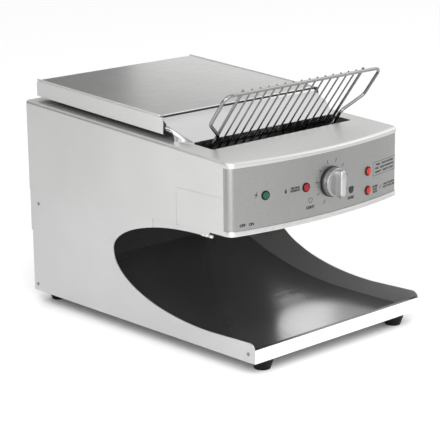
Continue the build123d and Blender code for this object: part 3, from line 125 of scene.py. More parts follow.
@dataclass(frozen=True)
class BrushedStainless:
    """Brushed 304 stainless sheet: fine parallel scratches draw highlights out across the grain."""

    name: str
    tone: str
    grain: Grain
    roughness: float = 0.34
    scratch_mm: float = 0.9        # real scratches are about 0.05 mm; drawn coarse enough to show
    contrast: float = 0.10
    bump: float = 0.05
    metallic: float = 0.9          # the rest scatters, as from the scratches' sides
    stretch: float = 60.0          # a scratch's length over its width
    haze: float = 0.94             # tone of the duller clouds that handling leaves

    def make(self) -> bpy.types.Material:
        """Build the material.

        Returns:
            A metallic material whose tone, roughness and bump follow stretched noise.
        """
        material = bpy.data.materials.new(self.name)
        material.use_nodes = True
        shader = material.node_tree.nodes["Principled BSDF"]
        place = add_node(material, "TexCoord").outputs["Object"]
        across = 1 / (self.scratch_mm * MM)
        scale = [across, across, across]
        scale[self.grain.value] = across / self.stretch
        lines_at = add_node(material, "Mapping", inputs={"Vector": place, "Scale": scale})
        lines = add_node(material, "TexNoise", inputs={
            "Vector": lines_at.outputs[0], "Scale": 1.0, "Detail": 3.0, "Roughness": 0.6})
        cloud = add_node(material, "TexNoise", inputs={
            "Vector": place, "Scale": 7.0, "Detail": 2.0, "Roughness": 0.45})
        base = linear(self.tone)
        low = tuple(c * (1 - self.contrast) for c in base[:3]) + (1.0,)
        high = tuple(min(1.0, c * (1 + self.contrast * 0.6)) for c in base[:3]) + (1.0,)
        tone = add_node(material, "ValToRGB", inputs={"Fac": lines.outputs["Fac"]})
        set_ramp(tone, [(0.32, low), (0.68, high)])
        haze = add_node(material, "ValToRGB", inputs={"Fac": cloud.outputs["Fac"]})
        set_ramp(haze, [(0.3, (self.haze, self.haze, self.haze, 1)), (0.7, (1, 1, 1, 1))])
        mixed = add_node(material, "Mix", {"data_type": "RGBA", "blend_type": "MULTIPLY"}, {
            0: 1.0, 6: tone.outputs["Color"], 7: haze.outputs["Color"]})
        rough = add_node(material, "MapRange", inputs={
            "Value": lines.outputs["Fac"], "From Min": 0.3, "From Max": 0.7,
            "To Min": self.roughness - 0.05, "To Max": self.roughness + 0.07})
        relief = add_node(material, "Bump", inputs={
            "Height": lines.outputs["Fac"], "Strength": self.bump, "Distance": 0.0003})
        shader.inputs["Metallic"].default_value = self.metallic
        links = material.node_tree.links
        links.new(mixed.outputs[2], shader.inputs["Base Color"])
        links.new(rough.outputs[0], shader.inputs["Roughness"])
        links.new(relief.outputs[0], shader.inputs["Normal"])
        return material


@dataclass(frozen=True)
class PlainFinish:
    """A finish of one tone with a fine even texture: moulded, painted, plated or printed."""

    name: str
    tone: str
    metallic: float = 0.0
    roughness: float = 0.5
    texture_mm: float = 0.8        # a moulding's grain is about 0.1 mm; drawn coarse enough to show
    bump: float = 0.1
    mottling: float = 0.06         # how far the tone drifts to either side
    coat: float = 0.0
    glow: float = 0.0
    shine: float = 0.5             # specular level

    def make(self) -> bpy.types.Material:
        """Build the material.

        Returns:
            A material whose tone, roughness and bump follow one even noise.
        """
        material = bpy.data.materials.new(self.name)
        material.use_nodes = True
        shader = material.node_tree.nodes["Principled BSDF"]
        place = add_node(material, "TexCoord").outputs["Object"]
        grain = add_node(material, "TexNoise", inputs={
            "Vector": place, "Scale": 1 / (self.texture_mm * MM), "Detail": 2.0, "Roughness": 0.5})
        cloud = add_node(material, "TexNoise", inputs={"Vector": place, "Scale": 22.0, "Detail": 3.0})
        base = linear(self.tone)
        low = tuple(c * (1 - self.mottling) for c in base[:3]) + (1.0,)
        high = tuple(min(1.0, c * (1 + self.mottling)) for c in base[:3]) + (1.0,)
        tone = add_node(material, "ValToRGB", inputs={"Fac": cloud.outputs["Fac"]})
        set_ramp(tone, [(0.35, low), (0.65, high)])
        rough = add_node(material, "MapRange", inputs={
            "Value": cloud.outputs["Fac"], "From Min": 0.3, "From Max": 0.7,
            "To Min": max(0.02, self.roughness - 0.04), "To Max": self.roughness + 0.05})
        relief = add_node(material, "Bump", inputs={
            "Height": grain.outputs["Fac"], "Strength": self.bump, "Distance": 0.0002})
        shader.inputs["Metallic"].default_value = self.metallic
        shader.inputs["Coat Weight"].default_value = self.coat
        shader.inputs["Specular IOR Level"].default_value = self.shine
        shader.inputs["Emission Color"].default_value = base
        shader.inputs["Emission Strength"].default_value = self.glow
        links = material.node_tree.links
        links.new(tone.outputs["Color"], shader.inputs["Base Color"])
        links.new(rough.outputs[0], shader.inputs["Roughness"])
        links.new(relief.outputs[0], shader.inputs["Normal"])
        return material


# ---------------------------------------------------------------- mesh making
def mesh_object(name: str, points: np.ndarray, faces: np.ndarray, smooth: bool = True) -> bpy.types.Object:
    """Put whole arrays of points and four-cornered faces into a new object.

    Args:
        name: the object's name.
        points: n by 3 array in millimetres.
        faces: m by 4 array of point numbers; a repeated last corner makes a triangle.
        smooth: shade the faces smooth.

    Returns:
        The linked object, at the origin.
    """
    mesh = bpy.data.meshes.new(name)
    mesh.from_pydata((points * MM).tolist(), [], [tuple(dict.fromkeys(f)) for f in faces.tolist()])
    mesh.validate()
    mesh.polygons.foreach_set("use_smooth", np.full(len(mesh.polygons), smooth))
    piece = bpy.data.objects.new(name, mesh)
    bpy.context.scene.collection.objects.link(piece)
    return piece


def grid_faces(rows: int, columns: int, wrap_columns: bool = False) -> np.ndarray:
    """Corner numbers of a grid's faces: face (i, j) joins points i, i+1 and j, j+1.

    Args:
        rows: number of rows of points.
        columns: number of points in each row.
        wrap_columns: the last column joins the first.

    Returns:
        m by 4 array of point numbers.
    """
    i = np.arange(rows - 1)[:, None]
    j = np.arange(columns if wrap_columns else columns - 1)[None, :]
    up, across = i + 1, (j + 1) % columns
    corners = [i * columns + j, i * columns + across, up * columns + across, up * columns + j]
    return np.stack(np.broadcast_arrays(*corners), -1).reshape(-1, 4)


@dataclass(frozen=True)
class LocalAxes:
    """A place with two axes across a face and one out of it, as arrays in millimetres."""

    origin: np.ndarray
    across: np.ndarray
    up: np.ndarray
    out: np.ndarray

    def points(self, u: np.ndarray, v: np.ndarray, w: np.ndarray) -> np.ndarray:
        """origin + u * across + v * up + w * out, for arrays of any shape."""
        u, v, w = np.broadcast_arrays(u, v, w)
        flat = [axis.reshape(-1, 1) for axis in (u, v, w)]
        return self.origin + flat[0] * self.across + flat[1] * self.up + flat[2] * self.out


def turned_piece(name: str, axes: LocalAxes, profile: np.ndarray, segments: int = 96,
                 ripple: np.ndarray | None = None) -> bpy.types.Object:
    """Surface of revolution: radius and distance out follow the profile, angle goes round.

    Args:
        name: the object's name.
        axes: where it stands; it turns about the axis out of the face.
        profile: k by 2 array of radius and distance out, from the inside outwards.
        segments: divisions round the circle.
        ripple: k by segments array of factors on the radius, such as a knurl.

    Returns:
        The linked object.
    """
    angle = np.linspace(0, 2 * np.pi, segments, endpoint=False)
    radius = profile[:, :1] * (np.ones((len(profile), segments)) if ripple is None else ripple)
    points = axes.points(radius * np.cos(angle), radius * np.sin(angle),
                         np.repeat(profile[:, 1:], segments, 1))
    return mesh_object(name, points, grid_faces(len(profile), segments, wrap_columns=True))


def smooth_copy(node: str, angle: float = 35.0) -> bpy.types.Object:
    """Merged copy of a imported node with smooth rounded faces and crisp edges.

    Args:
        node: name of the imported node.
        angle: edges flatter than this many degrees are shaded smooth.

    Returns:
        The linked copy, which stands for the node.
    """
    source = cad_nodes[node]
    piece = bpy.data.objects.new(node + "_dressed", source.data.copy())
    bpy.context.scene.collection.objects.link(piece)
    weld = piece.modifiers.new("merge", "WELD")
    weld.merge_threshold = MERGE_M
    bpy.context.view_layer.update()
    shaped = bpy.data.meshes.new_from_object(piece.evaluated_get(bpy.context.evaluated_depsgraph_get()))
    piece.modifiers.clear()
    piece.data = shaped
    shaped.polygons.foreach_set("use_smooth", np.full(len(shaped.polygons), True))
    shaped.set_sharp_from_angle(angle=radians(angle))
    even = piece.modifiers.new("even_normals", "WEIGHTED_NORMAL")
    even.mode = "FACE_AREA"
    even.weight = 100
    even.keep_sharp = True
    return piece


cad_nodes: dict[str, bpy.types.Object] = {}


def dress(piece: bpy.types.Object, material: bpy.types.Material) -> None:
    """Give every slot of a piece the one material."""
    if not piece.data.materials:
        piece.data.materials.append(material)
    for slot in piece.material_slots:
        slot.material = material


def finish_facing(piece: bpy.types.Object, material: bpy.types.Material,
                  way: tuple[float, float, float], least: float = 0.6) -> None:
    """Give the faces that look one way a material of their own; in this script it paints shade on faces by
    the way they face.

    Args:
        piece: a dressed piece.
        material: the finish.
        way: the direction the faces look.
        least: smallest cosine between a face's normal and the direction.
    """
    normals = np.zeros(len(piece.data.polygons) * 3)
    piece.data.polygons.foreach_get("normal", normals)
    slots = np.zeros(len(piece.data.polygons), int)
    piece.data.materials.append(material)
    slots[normals.reshape(-1, 3) @ np.array(way) > least] = len(piece.data.materials) - 1
    piece.data.polygons.foreach_set("material_index", slots)


# ---------------------------------------------------------------- the toaster's sub-assemblies
@dataclass
class Sheetwork:
    """Housing, base, slide, plate and frame: every folded sheet and its finish."""

    outer: list[str] = field(default_factory=lambda: [
        "body_hood", "front_cover", "rear_cover", "base_back_panel", "left_frame_plate",
        "right_frame_plate"])
    base: list[str] = field(default_factory=lambda: ["left_side_panel", "right_side_panel"])
    inner: list[str] = field(default_factory=lambda: [
        "base_plate", "control_floor", "left_chamber_wall", "right_chamber_wall", "chamber_spacers",
        "plate_rails", "rack_sockets"])

    def build(self) -> int:
        """Dress the sheets.

        Returns:
            The number of pieces dressed.
        """
        # Cold-rolled and belt-brushed: a wide soft sheen with faint lines from front to back.
        satin = BrushedStainless("satin_stainless_sheet", "#c3c3c2", Grain.ALONG_Y, 0.40,
                                 contrast=0.04, metallic=0.82).make()
        # The same sheet in thicker gauge: a shade softer still.
        base = BrushedStainless("satin_base_sheet", "#c4c4c4", Grain.ALONG_Y, 0.42,
                                contrast=0.04, metallic=0.8).make()
        # Brushed across, finer: broad streaks of light that run with the plate's width. Its tone, far
        # darker than the folded sides of the same sheet, is painted shade.
        deck = BrushedStainless("brushed_plate_top_painted_shade", "#878786", Grain.ALONG_X, 0.30,
                                metallic=0.95).make()
        # The plate's folded sides, brushed along the fold.
        flange = BrushedStainless("brushed_plate_flange", "#cbcbca", Grain.ALONG_Y, 0.32,
                                  contrast=0.03, metallic=0.95).make()
        # Bright-annealed and left unbrushed: nearly a mirror.
        ramp = BrushedStainless("bright_chute_sheet", "#b3b3b3", Grain.ALONG_X, 0.13,
                                contrast=0.02, bump=0.01, metallic=0.95).make()
        # Satin edge strip, even, with little reflection; its near-white tone is a painted highlight for
        # the front light on its face.
        lip = BrushedStainless("lip_front_painted_light", "#fbfbfa", Grain.ALONG_X, 0.35,
                               contrast=0.01, bump=0.01, metallic=0.6).make()
        # Painted shade: the lip's upward faces, of the same sheet, are made dark grey.
        lip_top_shade = BrushedStainless("lip_top_painted_shade", "#6e6e6d", Grain.ALONG_X, 0.3,
                                       bump=0.01).make()
        # Polished so that toast slides: clear soft-edged reflections; its tone, darker than the other
        # sheet, is painted shade for the shade under the hood.
        polished = BrushedStainless("polished_slide_sheet", "#888888", Grain.ALONG_Y, 0.19,
                                    bump=0.015, metallic=0.84).make()
        # Painted shade: the slide's faces that look to the front, its rear wall, are made almost black for
        # the shade they stand in.
        shadowed = BrushedStainless("slide_wall_painted_shade", "#292929", Grain.ALONG_X, 0.25,
                                    bump=0.015, metallic=0.9).make()
        # Unpolished mill sheet inside the machine: flat grey.
        dull = BrushedStainless("dull_inner_sheet", "#8f8f8d", Grain.ALONG_Y, 0.45).make()
        # Faces that look these ways get painted shade: the plate's top, the slide's rear wall and the
        # lip's top.
        facings = {"warming_plate": (deck, UP), "toast_slide": (shadowed, FRONTWARD),
                   "tray_lip": (lip_top_shade, UP)}
        groups = ((self.outer, satin), (self.base, base), (["tray_lip"], lip),
                  (["warming_plate"], flange), (["feed_chute"], ramp), (self.inner, dull),
                  (["toast_slide"], polished))
        count = 0
        for names, material in groups:
            for node in names:
                piece = smooth_copy(node)
                dress(piece, material)
                if node in facings:
                    finish_facing(piece, *facings[node])
                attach(piece, "housing")
                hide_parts(node)
                count += 1
        return count


@dataclass
class PlateTrim:
    """Rolled edges of the warming plate, a black strip under its front edge that is a painted shadow of
    the gap there, and the cover's catch.
    """

    half_width: float = 190.2
    front_y: float = -56.0
    rear: tuple[float, float] = (286.0, 421.0)             # y and z of the upper rear edge
    fall: float = 3.4                                      # degrees down to the front
    sheet: float = 1.3
    roll: tuple[float, float] = (2.3, 1.7)                 # half width and half height
    front_roll: tuple[float, float] = (0.9, 0.7)           # half depth and half height
    inset: float = 0.5                                     # side rolls stop short and sink by this
    front_sink: float = 0.2
    shadow_gap_strip: tuple[float, float] = (4.0, 4.2)                 # depth and height
    shadow_gap_proud: float = 0.8
    cap: float = 4.0                                       # length of a bead's rounded end
    sides: int = 24
    catch: tuple[float, float] = (-201.5, 218.4)           # x and z
    catch_y: tuple[float, ...] = (-196.0, -186.0, -177.0)
    knuckle: np.ndarray = field(default_factory=lambda: np.array([
        [0.05, 7.0], [2.6, 7.0], [3.0, 6.4], [3.0, 0.6], [2.6, 0.0], [0.05, 0.0]]))

    def top(self, y: float) -> float:
        """Height of the plate's upper face at y, falling evenly to the front."""
        return self.rear[1] + tan(radians(self.fall)) * (y - self.rear[0])

    def bead(self, name: str, start: np.ndarray, end: np.ndarray, u_way: np.ndarray,
             v_way: np.ndarray, half: tuple[float, float]) -> bpy.types.Object:
        """Oval bead from start to end, rounded off at both ends like a quarter of an ellipse.

        Args:
            name: the piece's name.
            start: middle of the first end.
            end: middle of the last end.
            u_way: first direction across, of unit length.
            v_way: second direction across; u_way crossed with it points from start to end.
            half: half sizes along the two.

        Returns:
            The piece.
        """
        length = float(np.linalg.norm(end - start))
        run = np.concatenate([np.linspace(0, self.cap, 9),
                              np.linspace(2 * self.cap, length - 2 * self.cap, 30),
                              np.linspace(length - self.cap, length, 9)])
        near_end = np.minimum(run, length - run)
        swell = np.sqrt(np.clip(1 - np.clip(1 - near_end / self.cap, 0, 1) ** 2, 0.0004, 1))
        swell = swell[:, None, None]
        turn = np.linspace(0, 2 * np.pi, self.sides, endpoint=False)[None, :, None]
        middle = start + (end - start) * (run / length)[:, None, None]
        points = middle + swell * (u_way * np.cos(turn) * half[0] + v_way * np.sin(turn) * half[1])
        return mesh_object(name, points.reshape(-1, 3),
                           grid_faces(len(run), self.sides, wrap_columns=True))

    def build(self) -> int:
        """Roll the edges and lay the black strip of painted shadow.

        Returns:
            The number of pieces.
        """
        x_way, y_way, z_way = np.eye(3)
        # Rolling smooths the sheet's edge: a thin bright line along it.
        rolled = BrushedStainless("bright_rolled_edge", "#dadad9", Grain.ALONG_Y, 0.28,
                                  contrast=0.02, bump=0.01, metallic=0.85).make()
        pieces = []
        for side, name in ((-1, "left_rolled_edge"), (1, "right_rolled_edge")):
            x = side * (self.half_width - self.roll[0])
            ends = [np.array([x, y, self.top(y) - self.inset])
                    for y in (self.front_y + self.inset, self.rear[0] - self.inset)]
            pieces.append(self.bead(name, *ends, z_way, x_way, (self.roll[1], self.roll[0])))
        across = self.half_width - 2 * self.roll[0]
        ends = [np.array([x, self.front_y + self.front_roll[0], self.top(self.front_y) - self.front_sink])
                for x in (-across, across)]
        pieces.append(self.bead("front_rolled_edge", *ends, y_way, z_way, self.front_roll))
        for piece in pieces:
            dress(piece, rolled)
            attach(piece, "housing")
        # Painted shadow: a black strip laid in the gap under the plate's front edge.
        deep, tall = self.shadow_gap_strip
        low = self.top(self.front_y) - self.sheet - tall
        ends = [np.array([x, self.front_y + deep / 2 - self.shadow_gap_proud, low + tall / 2])
                for x in (-across, across)]
        shadow_gap_strip = self.bead("plate_front_painted_shadow", *ends, y_way, z_way, (deep / 2, tall / 2))
        for number, y in enumerate(self.catch_y):
            knuckle = turned_piece(f"cover_catch_{number}", LocalAxes(
                np.array([self.catch[0], y, self.catch[1]]), z_way, x_way, y_way), self.knuckle, 32)
            dress(knuckle, rolled)
            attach(knuckle, "housing")
        # Matt black strip, a painted shadow: it stands for the shadow gap under the plate's front edge.
        dress(shadow_gap_strip, PlainFinish("painted_shadow_black", "#0d0d0d", 0.0, 0.7, 0.5, 0.1).make())
        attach(shadow_gap_strip, "housing")
        return len(pieces) + len(self.catch_y) + 1


@dataclass
class Metalwork:
    """Racks, drive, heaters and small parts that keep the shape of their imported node."""

    chrome: dict[str, str] = field(default_factory=lambda: {"feed_rack": "feed_rack_body"})
    inner_racks: dict[str, str] = field(default_factory=lambda: {
        "walking_rack": "walking_rack_body", "lower_guide_rack": "housing",
        "upper_guard_rack": "housing"})
    rings: list[str] = field(default_factory=lambda: ["mode_button_housing", "saver_button_housing"])
    screws: list[str] = field(default_factory=lambda: ["side_screws", "rear_screws", "foot_screws"])
    feet: list[str] = field(default_factory=lambda: [
        "foot_front_left", "foot_front_right", "foot_rear_left", "foot_rear_right", "cord_grommet"])
    reflectors: list[str] = field(default_factory=lambda: ["front_reflector", "rear_reflector"])
    heaters: list[str] = field(default_factory=lambda: ["front_elements", "rear_elements"])
    machined: dict[str, str] = field(default_factory=lambda: {
        "drive_arm": "walking_rack_body", "motor_crank": "motor_crank_body", "motor_bracket": "housing",
        "upper_left_crank": "upper_left_crank_body", "lower_left_crank": "lower_left_crank_body",
        "upper_right_crank": "upper_right_crank_body", "lower_right_crank": "lower_right_crank_body"})
    moulded: dict[str, str] = field(default_factory=lambda: {
        "speed_control": "housing", "switch_housing": "housing", "power_rocker": "power_rocker_body",
        "fan_frame": "housing", "fan_impeller": "fan_body"})

    def build(self) -> int:
        """Dress the pieces.

        Returns:
            The number of pieces dressed.
        """
        # Each takes its name, tone, metallic, roughness, texture in millimetres, bump and mottling.
        # Bright nickel-chrome plate: the room shows in it, thin and sharp.
        chrome = PlainFinish("chrome_plated_wire", "#8c8c8b", 1.0, 0.10, 1.5, 0.02, 0.04).make()
        # The same wire inside the machine, made dark grey: painted shade for the shade in the slot.
        shade_dark_wire = PlainFinish("inner_wire_painted_shade", "#4a4846", 1.0, 0.3, 1.5, 0.02, 0.08).make()
        # Clear red moulding seen edge on, which is nearly black.
        lens_ring = PlainFinish("dark_red_lens_ring", "#4a0f0a", 0.0, 0.3, 0.5, 0.04).make()
        # Passivated zinc: soft grey with a faint spangle.
        steel = PlainFinish("zinc_plated_steel", "#a9a9a6", 1.0, 0.38, 0.6, 0.08, 0.08).make()
        worn = PlainFinish("dull_screw_steel", "#858583", 1.0, 0.5, 0.6, 0.08, 0.08).make()
        # Moulded rubber: matt, with a fine grain and hardly any sheen.
        rubber = PlainFinish("moulded_black_rubber", "#080808", 0.0, 0.72, 0.5, 0.25, 0.1,
                             shine=0.25).make()
        # Aluminised sheet dulled by heat.
        mirror = PlainFinish("dull_reflector_sheet", "#7d7d7b", 1.0, 0.45, 4.0, 0.03, 0.05).make()
        # Oxidised alloy tube: brown-black, patchy.
        sheath = PlainFinish("heat_darkened_sheath", "#3b3633", 0.8, 0.55, 0.7, 0.15, 0.18).make()
        abs_black = PlainFinish("moulded_black_abs", "#141415", 0.0, 0.42, 0.5, 0.12, 0.06).make()
        count = 0
        groups = [(self.chrome, chrome), (self.inner_racks, shade_dark_wire), (self.machined, steel),
                  (self.moulded, abs_black)]
        groups += [(dict.fromkeys(names, "housing"), material) for names, material in (
            (self.screws, worn), (self.rings, lens_ring), (self.feet, rubber),
            (self.reflectors, mirror), (self.heaters, sheath),
            (["gear_motor"], PlainFinish("painted_motor_case", "#2a2b2d", 0.0, 0.4, 0.6, 0.1).make()),
            (["crank_bushes"], PlainFinish("sintered_bronze", "#a07a45", 1.0, 0.45, 0.4, 0.2).make()),
            (["element_insulators"], PlainFinish("fired_ceramic", "#ddd6c8", 0.0, 0.6, 0.4, 0.15).make()),
            (["control_board"], PlainFinish("board_green", "#1d5a38", 0.0, 0.4, 1.0, 0.05).make()),
        )]
        for bodies, material in groups:
            for node, body in bodies.items():
                piece = smooth_copy(node, 40.0)
                dress(piece, material)
                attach(piece, body)
                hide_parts(node)
                count += 1
        return count


@dataclass
class BowedFront:
    """The bowed front panel and everything printed on it or fitted through it."""

    half_width: float = 206.0
    corner_y: float = -242.0
    sag: float = 25.0
    dial: tuple[float, float] = (10.5, 288.0)
    tick_reach: tuple[float, float] = (33.5, 40.5)
    tick_width: float = 1.3
    tick_count: int = 10
    tick_span: tuple[float, float] = (240.0, -58.0)        # degrees of the first and last
    ink: float = 0.06                                      # print stands proud by this
    icon_scale: float = 1.3
    letter_scale: float = 1.45                             # a letter's body over its height
    letter_weight: float = 0.1                             # how far the outline is fattened
    legend: tuple[float, float, float, float] = (124.0, 199.5, 275.6, 300.0)   # x and z limits
    legend_line: float = 0.6
    lens_radius: float = 6.0
    knob: tuple[float, float] = (10.0, 288.2)
    lamps: dict[str, tuple[float, float, str]] = field(default_factory=lambda: {
        "power_lamp": (-137.0, 288.2, "#0d4a38"), "heating_lamp": (-51.0, 288.2, "#86081c")})
    buttons: dict[str, tuple[float, float, str]] = field(default_factory=lambda: {
        "mode_button": (108.5, 288.2, "#b02a0c"), "saver_button": (108.5, 253.7, "#b02a0c")})
    words: tuple[tuple[str, float, float, float], ...] = (
        ("OFF", -181.8, 243.4, 4.2), ("ON", -164.7, 243.4, 4.2),
        ("LIGHT", -41.5, 252.0, 4.4), ("DARK", 60.2, 250.4, 4.4),
        ("HEATING", -75.0, 291.0, 3.1), ("ELEMENTS", -75.0, 286.4, 3.1),
        ("BREAD    TOAST BOTH SIDES", 161.8, 294.4, 3.0),
        ("BUNS    TOAST ONE SIDE ONLY", 161.8, 287.8, 3.0),
        ("STANDBY    READY TO TOAST", 161.8, 281.2, 3.0),
        ("POWER", 131.0, 256.4, 3.2), ("SAVER", 131.0, 251.6, 3.2), ("MODE", 131.0, 246.8, 3.2),
        ("HOLD TO SWITCH", 177.5, 254.6, 3.0), ("BACK TO FULL HEAT", 177.5, 249.6, 3.0))

    @property
    def radius(self) -> float:
        """Radius of the bow through its two corners and its middle."""
        return (self.half_width ** 2 + self.sag ** 2) / (2 * self.sag)

    def depth(self, x: np.ndarray | float, proud: float = 0.0) -> np.ndarray | float:
        """y of the front at x: a circle of the bow's radius, standing out by proud."""
        return self.corner_y - self.sag + self.radius - np.sqrt((self.radius + proud) ** 2 - x ** 2)

    def axes(self, x: float, z: float) -> LocalAxes:
        """Axes square to the front at x, z."""
        side = x / self.radius
        ahead = sqrt(1 - side ** 2)
        return LocalAxes(np.array([x, self.depth(x), z]), np.array([ahead, side, 0.0]),
                         np.array([0.0, 0.0, 1.0]), np.array([side, -ahead, 0.0]))

    def print_faces(self, name: str, u: np.ndarray, v: np.ndarray, faces: np.ndarray,
                    ink: bpy.types.Material) -> None:
        """Lay flat faces given in x and z onto the front, just proud of it."""
        points = np.stack([u, self.depth(u, self.ink), v], -1)
        piece = mesh_object(name, points, faces, smooth=False)
        dress(piece, ink)
        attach(piece, "housing")

    def print_words(self, ink: bpy.types.Material) -> None:
        """Print each word: its flat outline is bent onto the front, point by point."""
        for number, (text, x, z, size) in enumerate(self.words):
            curve = bpy.data.curves.new(f"word_{number}", "FONT")
            curve.body = text
            curve.size = size * self.letter_scale
            curve.offset = size * self.letter_weight
            curve.align_x = "CENTER"
            curve.align_y = "CENTER"
            writer = bpy.data.objects.new(f"word_{number}", curve)
            bpy.context.scene.collection.objects.link(writer)
            bpy.context.view_layer.update()
            mesh = bpy.data.meshes.new_from_object(
                writer.evaluated_get(bpy.context.evaluated_depsgraph_get()))
            bpy.data.objects.remove(writer)
            flat = np.zeros(len(mesh.vertices) * 3)
            mesh.vertices.foreach_get("co", flat)
            flat = flat.reshape(-1, 3)
            u, v = x + flat[:, 0], z + flat[:, 1]
            bent = np.stack([u, self.depth(u, self.ink), v], -1) * MM
            mesh.vertices.foreach_set("co", bent.reshape(-1))
            piece = bpy.data.objects.new(f"printed_word_{number}", mesh)
            bpy.context.scene.collection.objects.link(piece)
            dress(piece, ink)
            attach(piece, "housing")

    def print_dial(self, ink: bpy.types.Material) -> None:
        """Radial ticks, evenly spread round the knob from lower left to lower right."""
        angle = np.radians(np.linspace(*self.tick_span, self.tick_count))[:, None]
        near, far = self.tick_reach
        reach = np.array([near, far, far, near])
        side = np.array([-1.0, -1.0, 1.0, 1.0]) * self.tick_width / 2
        u = self.dial[0] + reach * np.cos(angle) - side * np.sin(angle)
        v = self.dial[1] + reach * np.sin(angle) + side * np.cos(angle)
        faces = np.arange(4 * self.tick_count).reshape(self.tick_count, 4)[:, ::-1]
        self.print_faces("dial_ticks", u.reshape(-1), v.reshape(-1), faces, ink)

    def print_icons(self, ink: bpy.types.Material) -> None:
        """Bread slices, a bolt, a leaf and the frame round the top legend, as bands of faces."""
        turn = np.linspace(0, 2 * np.pi, 33)[:-1]
        crust = 1 + 0.16 * (np.sin(turn) > 0.3)
        slice_u = 3.4 * np.sign(np.cos(turn)) * np.abs(np.cos(turn)) ** 0.6 * crust
        slice_v = 3.2 * np.sin(turn) + 0.4 * np.abs(np.sin(2 * turn))
        rings = {
            "icon_light_slice": (-41.0, 264.0, slice_u, slice_v, 0.78),
            "icon_dark_slice": (61.0, 264.0, 1.5 * slice_u, 1.5 * slice_v, 0.02),
            "icon_leaf": (148.0, 252.0, 2.6 * np.cos(turn) + 1.1 * np.sin(turn),
                          1.7 * np.sin(turn) + 2.2 * np.cos(turn), 0.02),
            "icon_flame": (-95.5, 288.4, 1.5 * np.sin(turn) * (1 - 0.5 * np.cos(turn)),
                           2.9 * np.cos(turn), 0.02),
        }
        for name, (x, z, u, v, hollow) in rings.items():
            both_u = x + self.icon_scale * np.concatenate([u, u * hollow])
            both_v = z + self.icon_scale * np.concatenate([v, v * hollow])
            self.print_faces(name, both_u, both_v, grid_faces(2, 32, wrap_columns=True)[:, ::-1], ink)
        bolt_u = self.icon_scale * np.array([1.9, -2.2, 0.2, -2.4, 2.4, 0.6]) - 155.5
        bolt_v = self.icon_scale * np.array([5.0, -0.4, -0.2, -5.0, 0.9, 0.8]) + 290.6
        self.print_faces("icon_bolt", bolt_u, bolt_v, np.array([[0, 1, 2, 5], [5, 2, 3, 4]]), ink)
        low_x, high_x, low_z, high_z = self.legend
        line = self.legend_line
        outer = np.array([[low_x, low_z], [high_x, low_z], [high_x, high_z], [low_x, high_z]])
        inner = outer + np.array([[line, line], [-line, line], [-line, -line], [line, -line]])
        along = np.linspace(0, 1, 13)[:-1]
        loops = [(np.roll(loop, -1, 0) - loop)[:, None] * along[None, :, None] + loop[:, None]
                 for loop in (outer, inner)]
        ring = np.concatenate([loop.reshape(-1, 2) for loop in loops])
        self.print_faces("legend_frame", ring[:, 0], ring[:, 1],
                         grid_faces(2, 48, wrap_columns=True), ink)

    def fit_lamps(self) -> None:
        """Pilot lamps: a black moulded bezel ring and a domed coloured lens."""
        bezel_black = PlainFinish("bezel_black_abs", "#060606", 0.0, 0.5, 0.5, 0.05, shine=0.2).make()
        bezel_red = PlainFinish("bezel_dark_red_abs", "#2e0805", 0.0, 0.5, 0.5, 0.05, shine=0.2).make()
        ring = np.array([[6.1, -2.0], [6.1, 1.5], [6.5, 1.9], [7.4, 1.7], [8.0, 1.1], [8.0, 0.0],
                         [7.9, -2.0]])
        for node, (x, z, tone) in (self.lamps | self.buttons).items():
            axes = self.axes(x, z)
            bezel = turned_piece(node + "_bezel", axes, ring, 64)
            dress(bezel, bezel_red if node in self.buttons else bezel_black)
            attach(bezel, "housing")
            if node in self.buttons:
                self.dome(node, axes, tone, node + "_body", 4.4)
            else:
                self.dome(node, axes, tone, "housing", 3.4)

    def dome(self, node: str, axes: LocalAxes, tone: str, body: str, proud: float) -> None:
        """Domed lens: height falls as the square of the radius, with moulded rings near its rim."""
        reach = np.linspace(0.02, 1.0, 24)
        height = proud - (1.5 * reach ** 2) + 0.10 * np.cos(reach * 34) * (reach > 0.55)
        profile = np.stack([self.lens_radius * reach, height], -1)
        side = np.array([[self.lens_radius, proud - 2.4], [self.lens_radius, -9.0], [0.05, -9.0]])
        lens = turned_piece(node + "_lens", axes, np.concatenate([profile, side]), 64)
        dress(lens, PlainFinish(node + "_polycarbonate", tone, 0.0, 0.14, 2.0, 0.02, 0.12, 0.12,
                                0.06 if "button" in node else 0.01, shine=0.25).make())
        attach(lens, body)
        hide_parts(node)

    def fit_knob(self) -> None:
        """Speed knob: black skirt, knurled silver barrel and a raised grip bar."""
        axes = self.axes(*self.knob)
        skirt = turned_piece("knob_skirt", axes, np.array([
            [0.05, 1.0], [25.6, 1.0], [26.4, 1.3], [26.6, 1.8], [26.6, 2.5], [26.2, 3.0], [25.4, 3.2],
            [20.0, 3.2]]), 128)
        around = np.linspace(0, 2 * np.pi, 240, endpoint=False)
        knurl = 1 + 0.006 * np.cos(60 * around)
        profile = np.array([[20.0, 2.9], [25.0, 3.1], [25.2, 3.6], [25.1, 4.6], [24.9, 12.4], [24.5, 13.3],
                            [23.8, 13.8], [22.6, 14.0], [12.0, 14.0], [0.05, 14.0]])
        part_way = np.array([0, 0, 0, 1, 1, 0.4, 0, 0, 0, 0])[:, None]
        barrel = turned_piece("knob_barrel", axes, profile, 240, 1 + part_way * (knurl - 1)[None, :])
        rise = np.linspace(0, 1, 22)[:, None]
        turn = np.linspace(0, 2 * np.pi, 64, endpoint=False)[None, :]
        round_off = np.sqrt(np.clip(1 - np.clip((rise - 0.78) / 0.22, 0, 1) ** 2, 0, 1))
        half_wide = (6.4 - 0.5 * rise) * (0.70 + 0.30 * round_off)
        half_long = (23.2 - 0.8 * rise) * (0.93 + 0.07 * round_off)
        power = 2 / 5.0
        u = half_wide * np.sign(np.cos(turn)) * np.abs(np.cos(turn)) ** power
        v = half_long * np.sign(np.sin(turn)) * np.abs(np.sin(turn)) ** power
        w = 14.0 + 14.0 * rise + 0 * turn
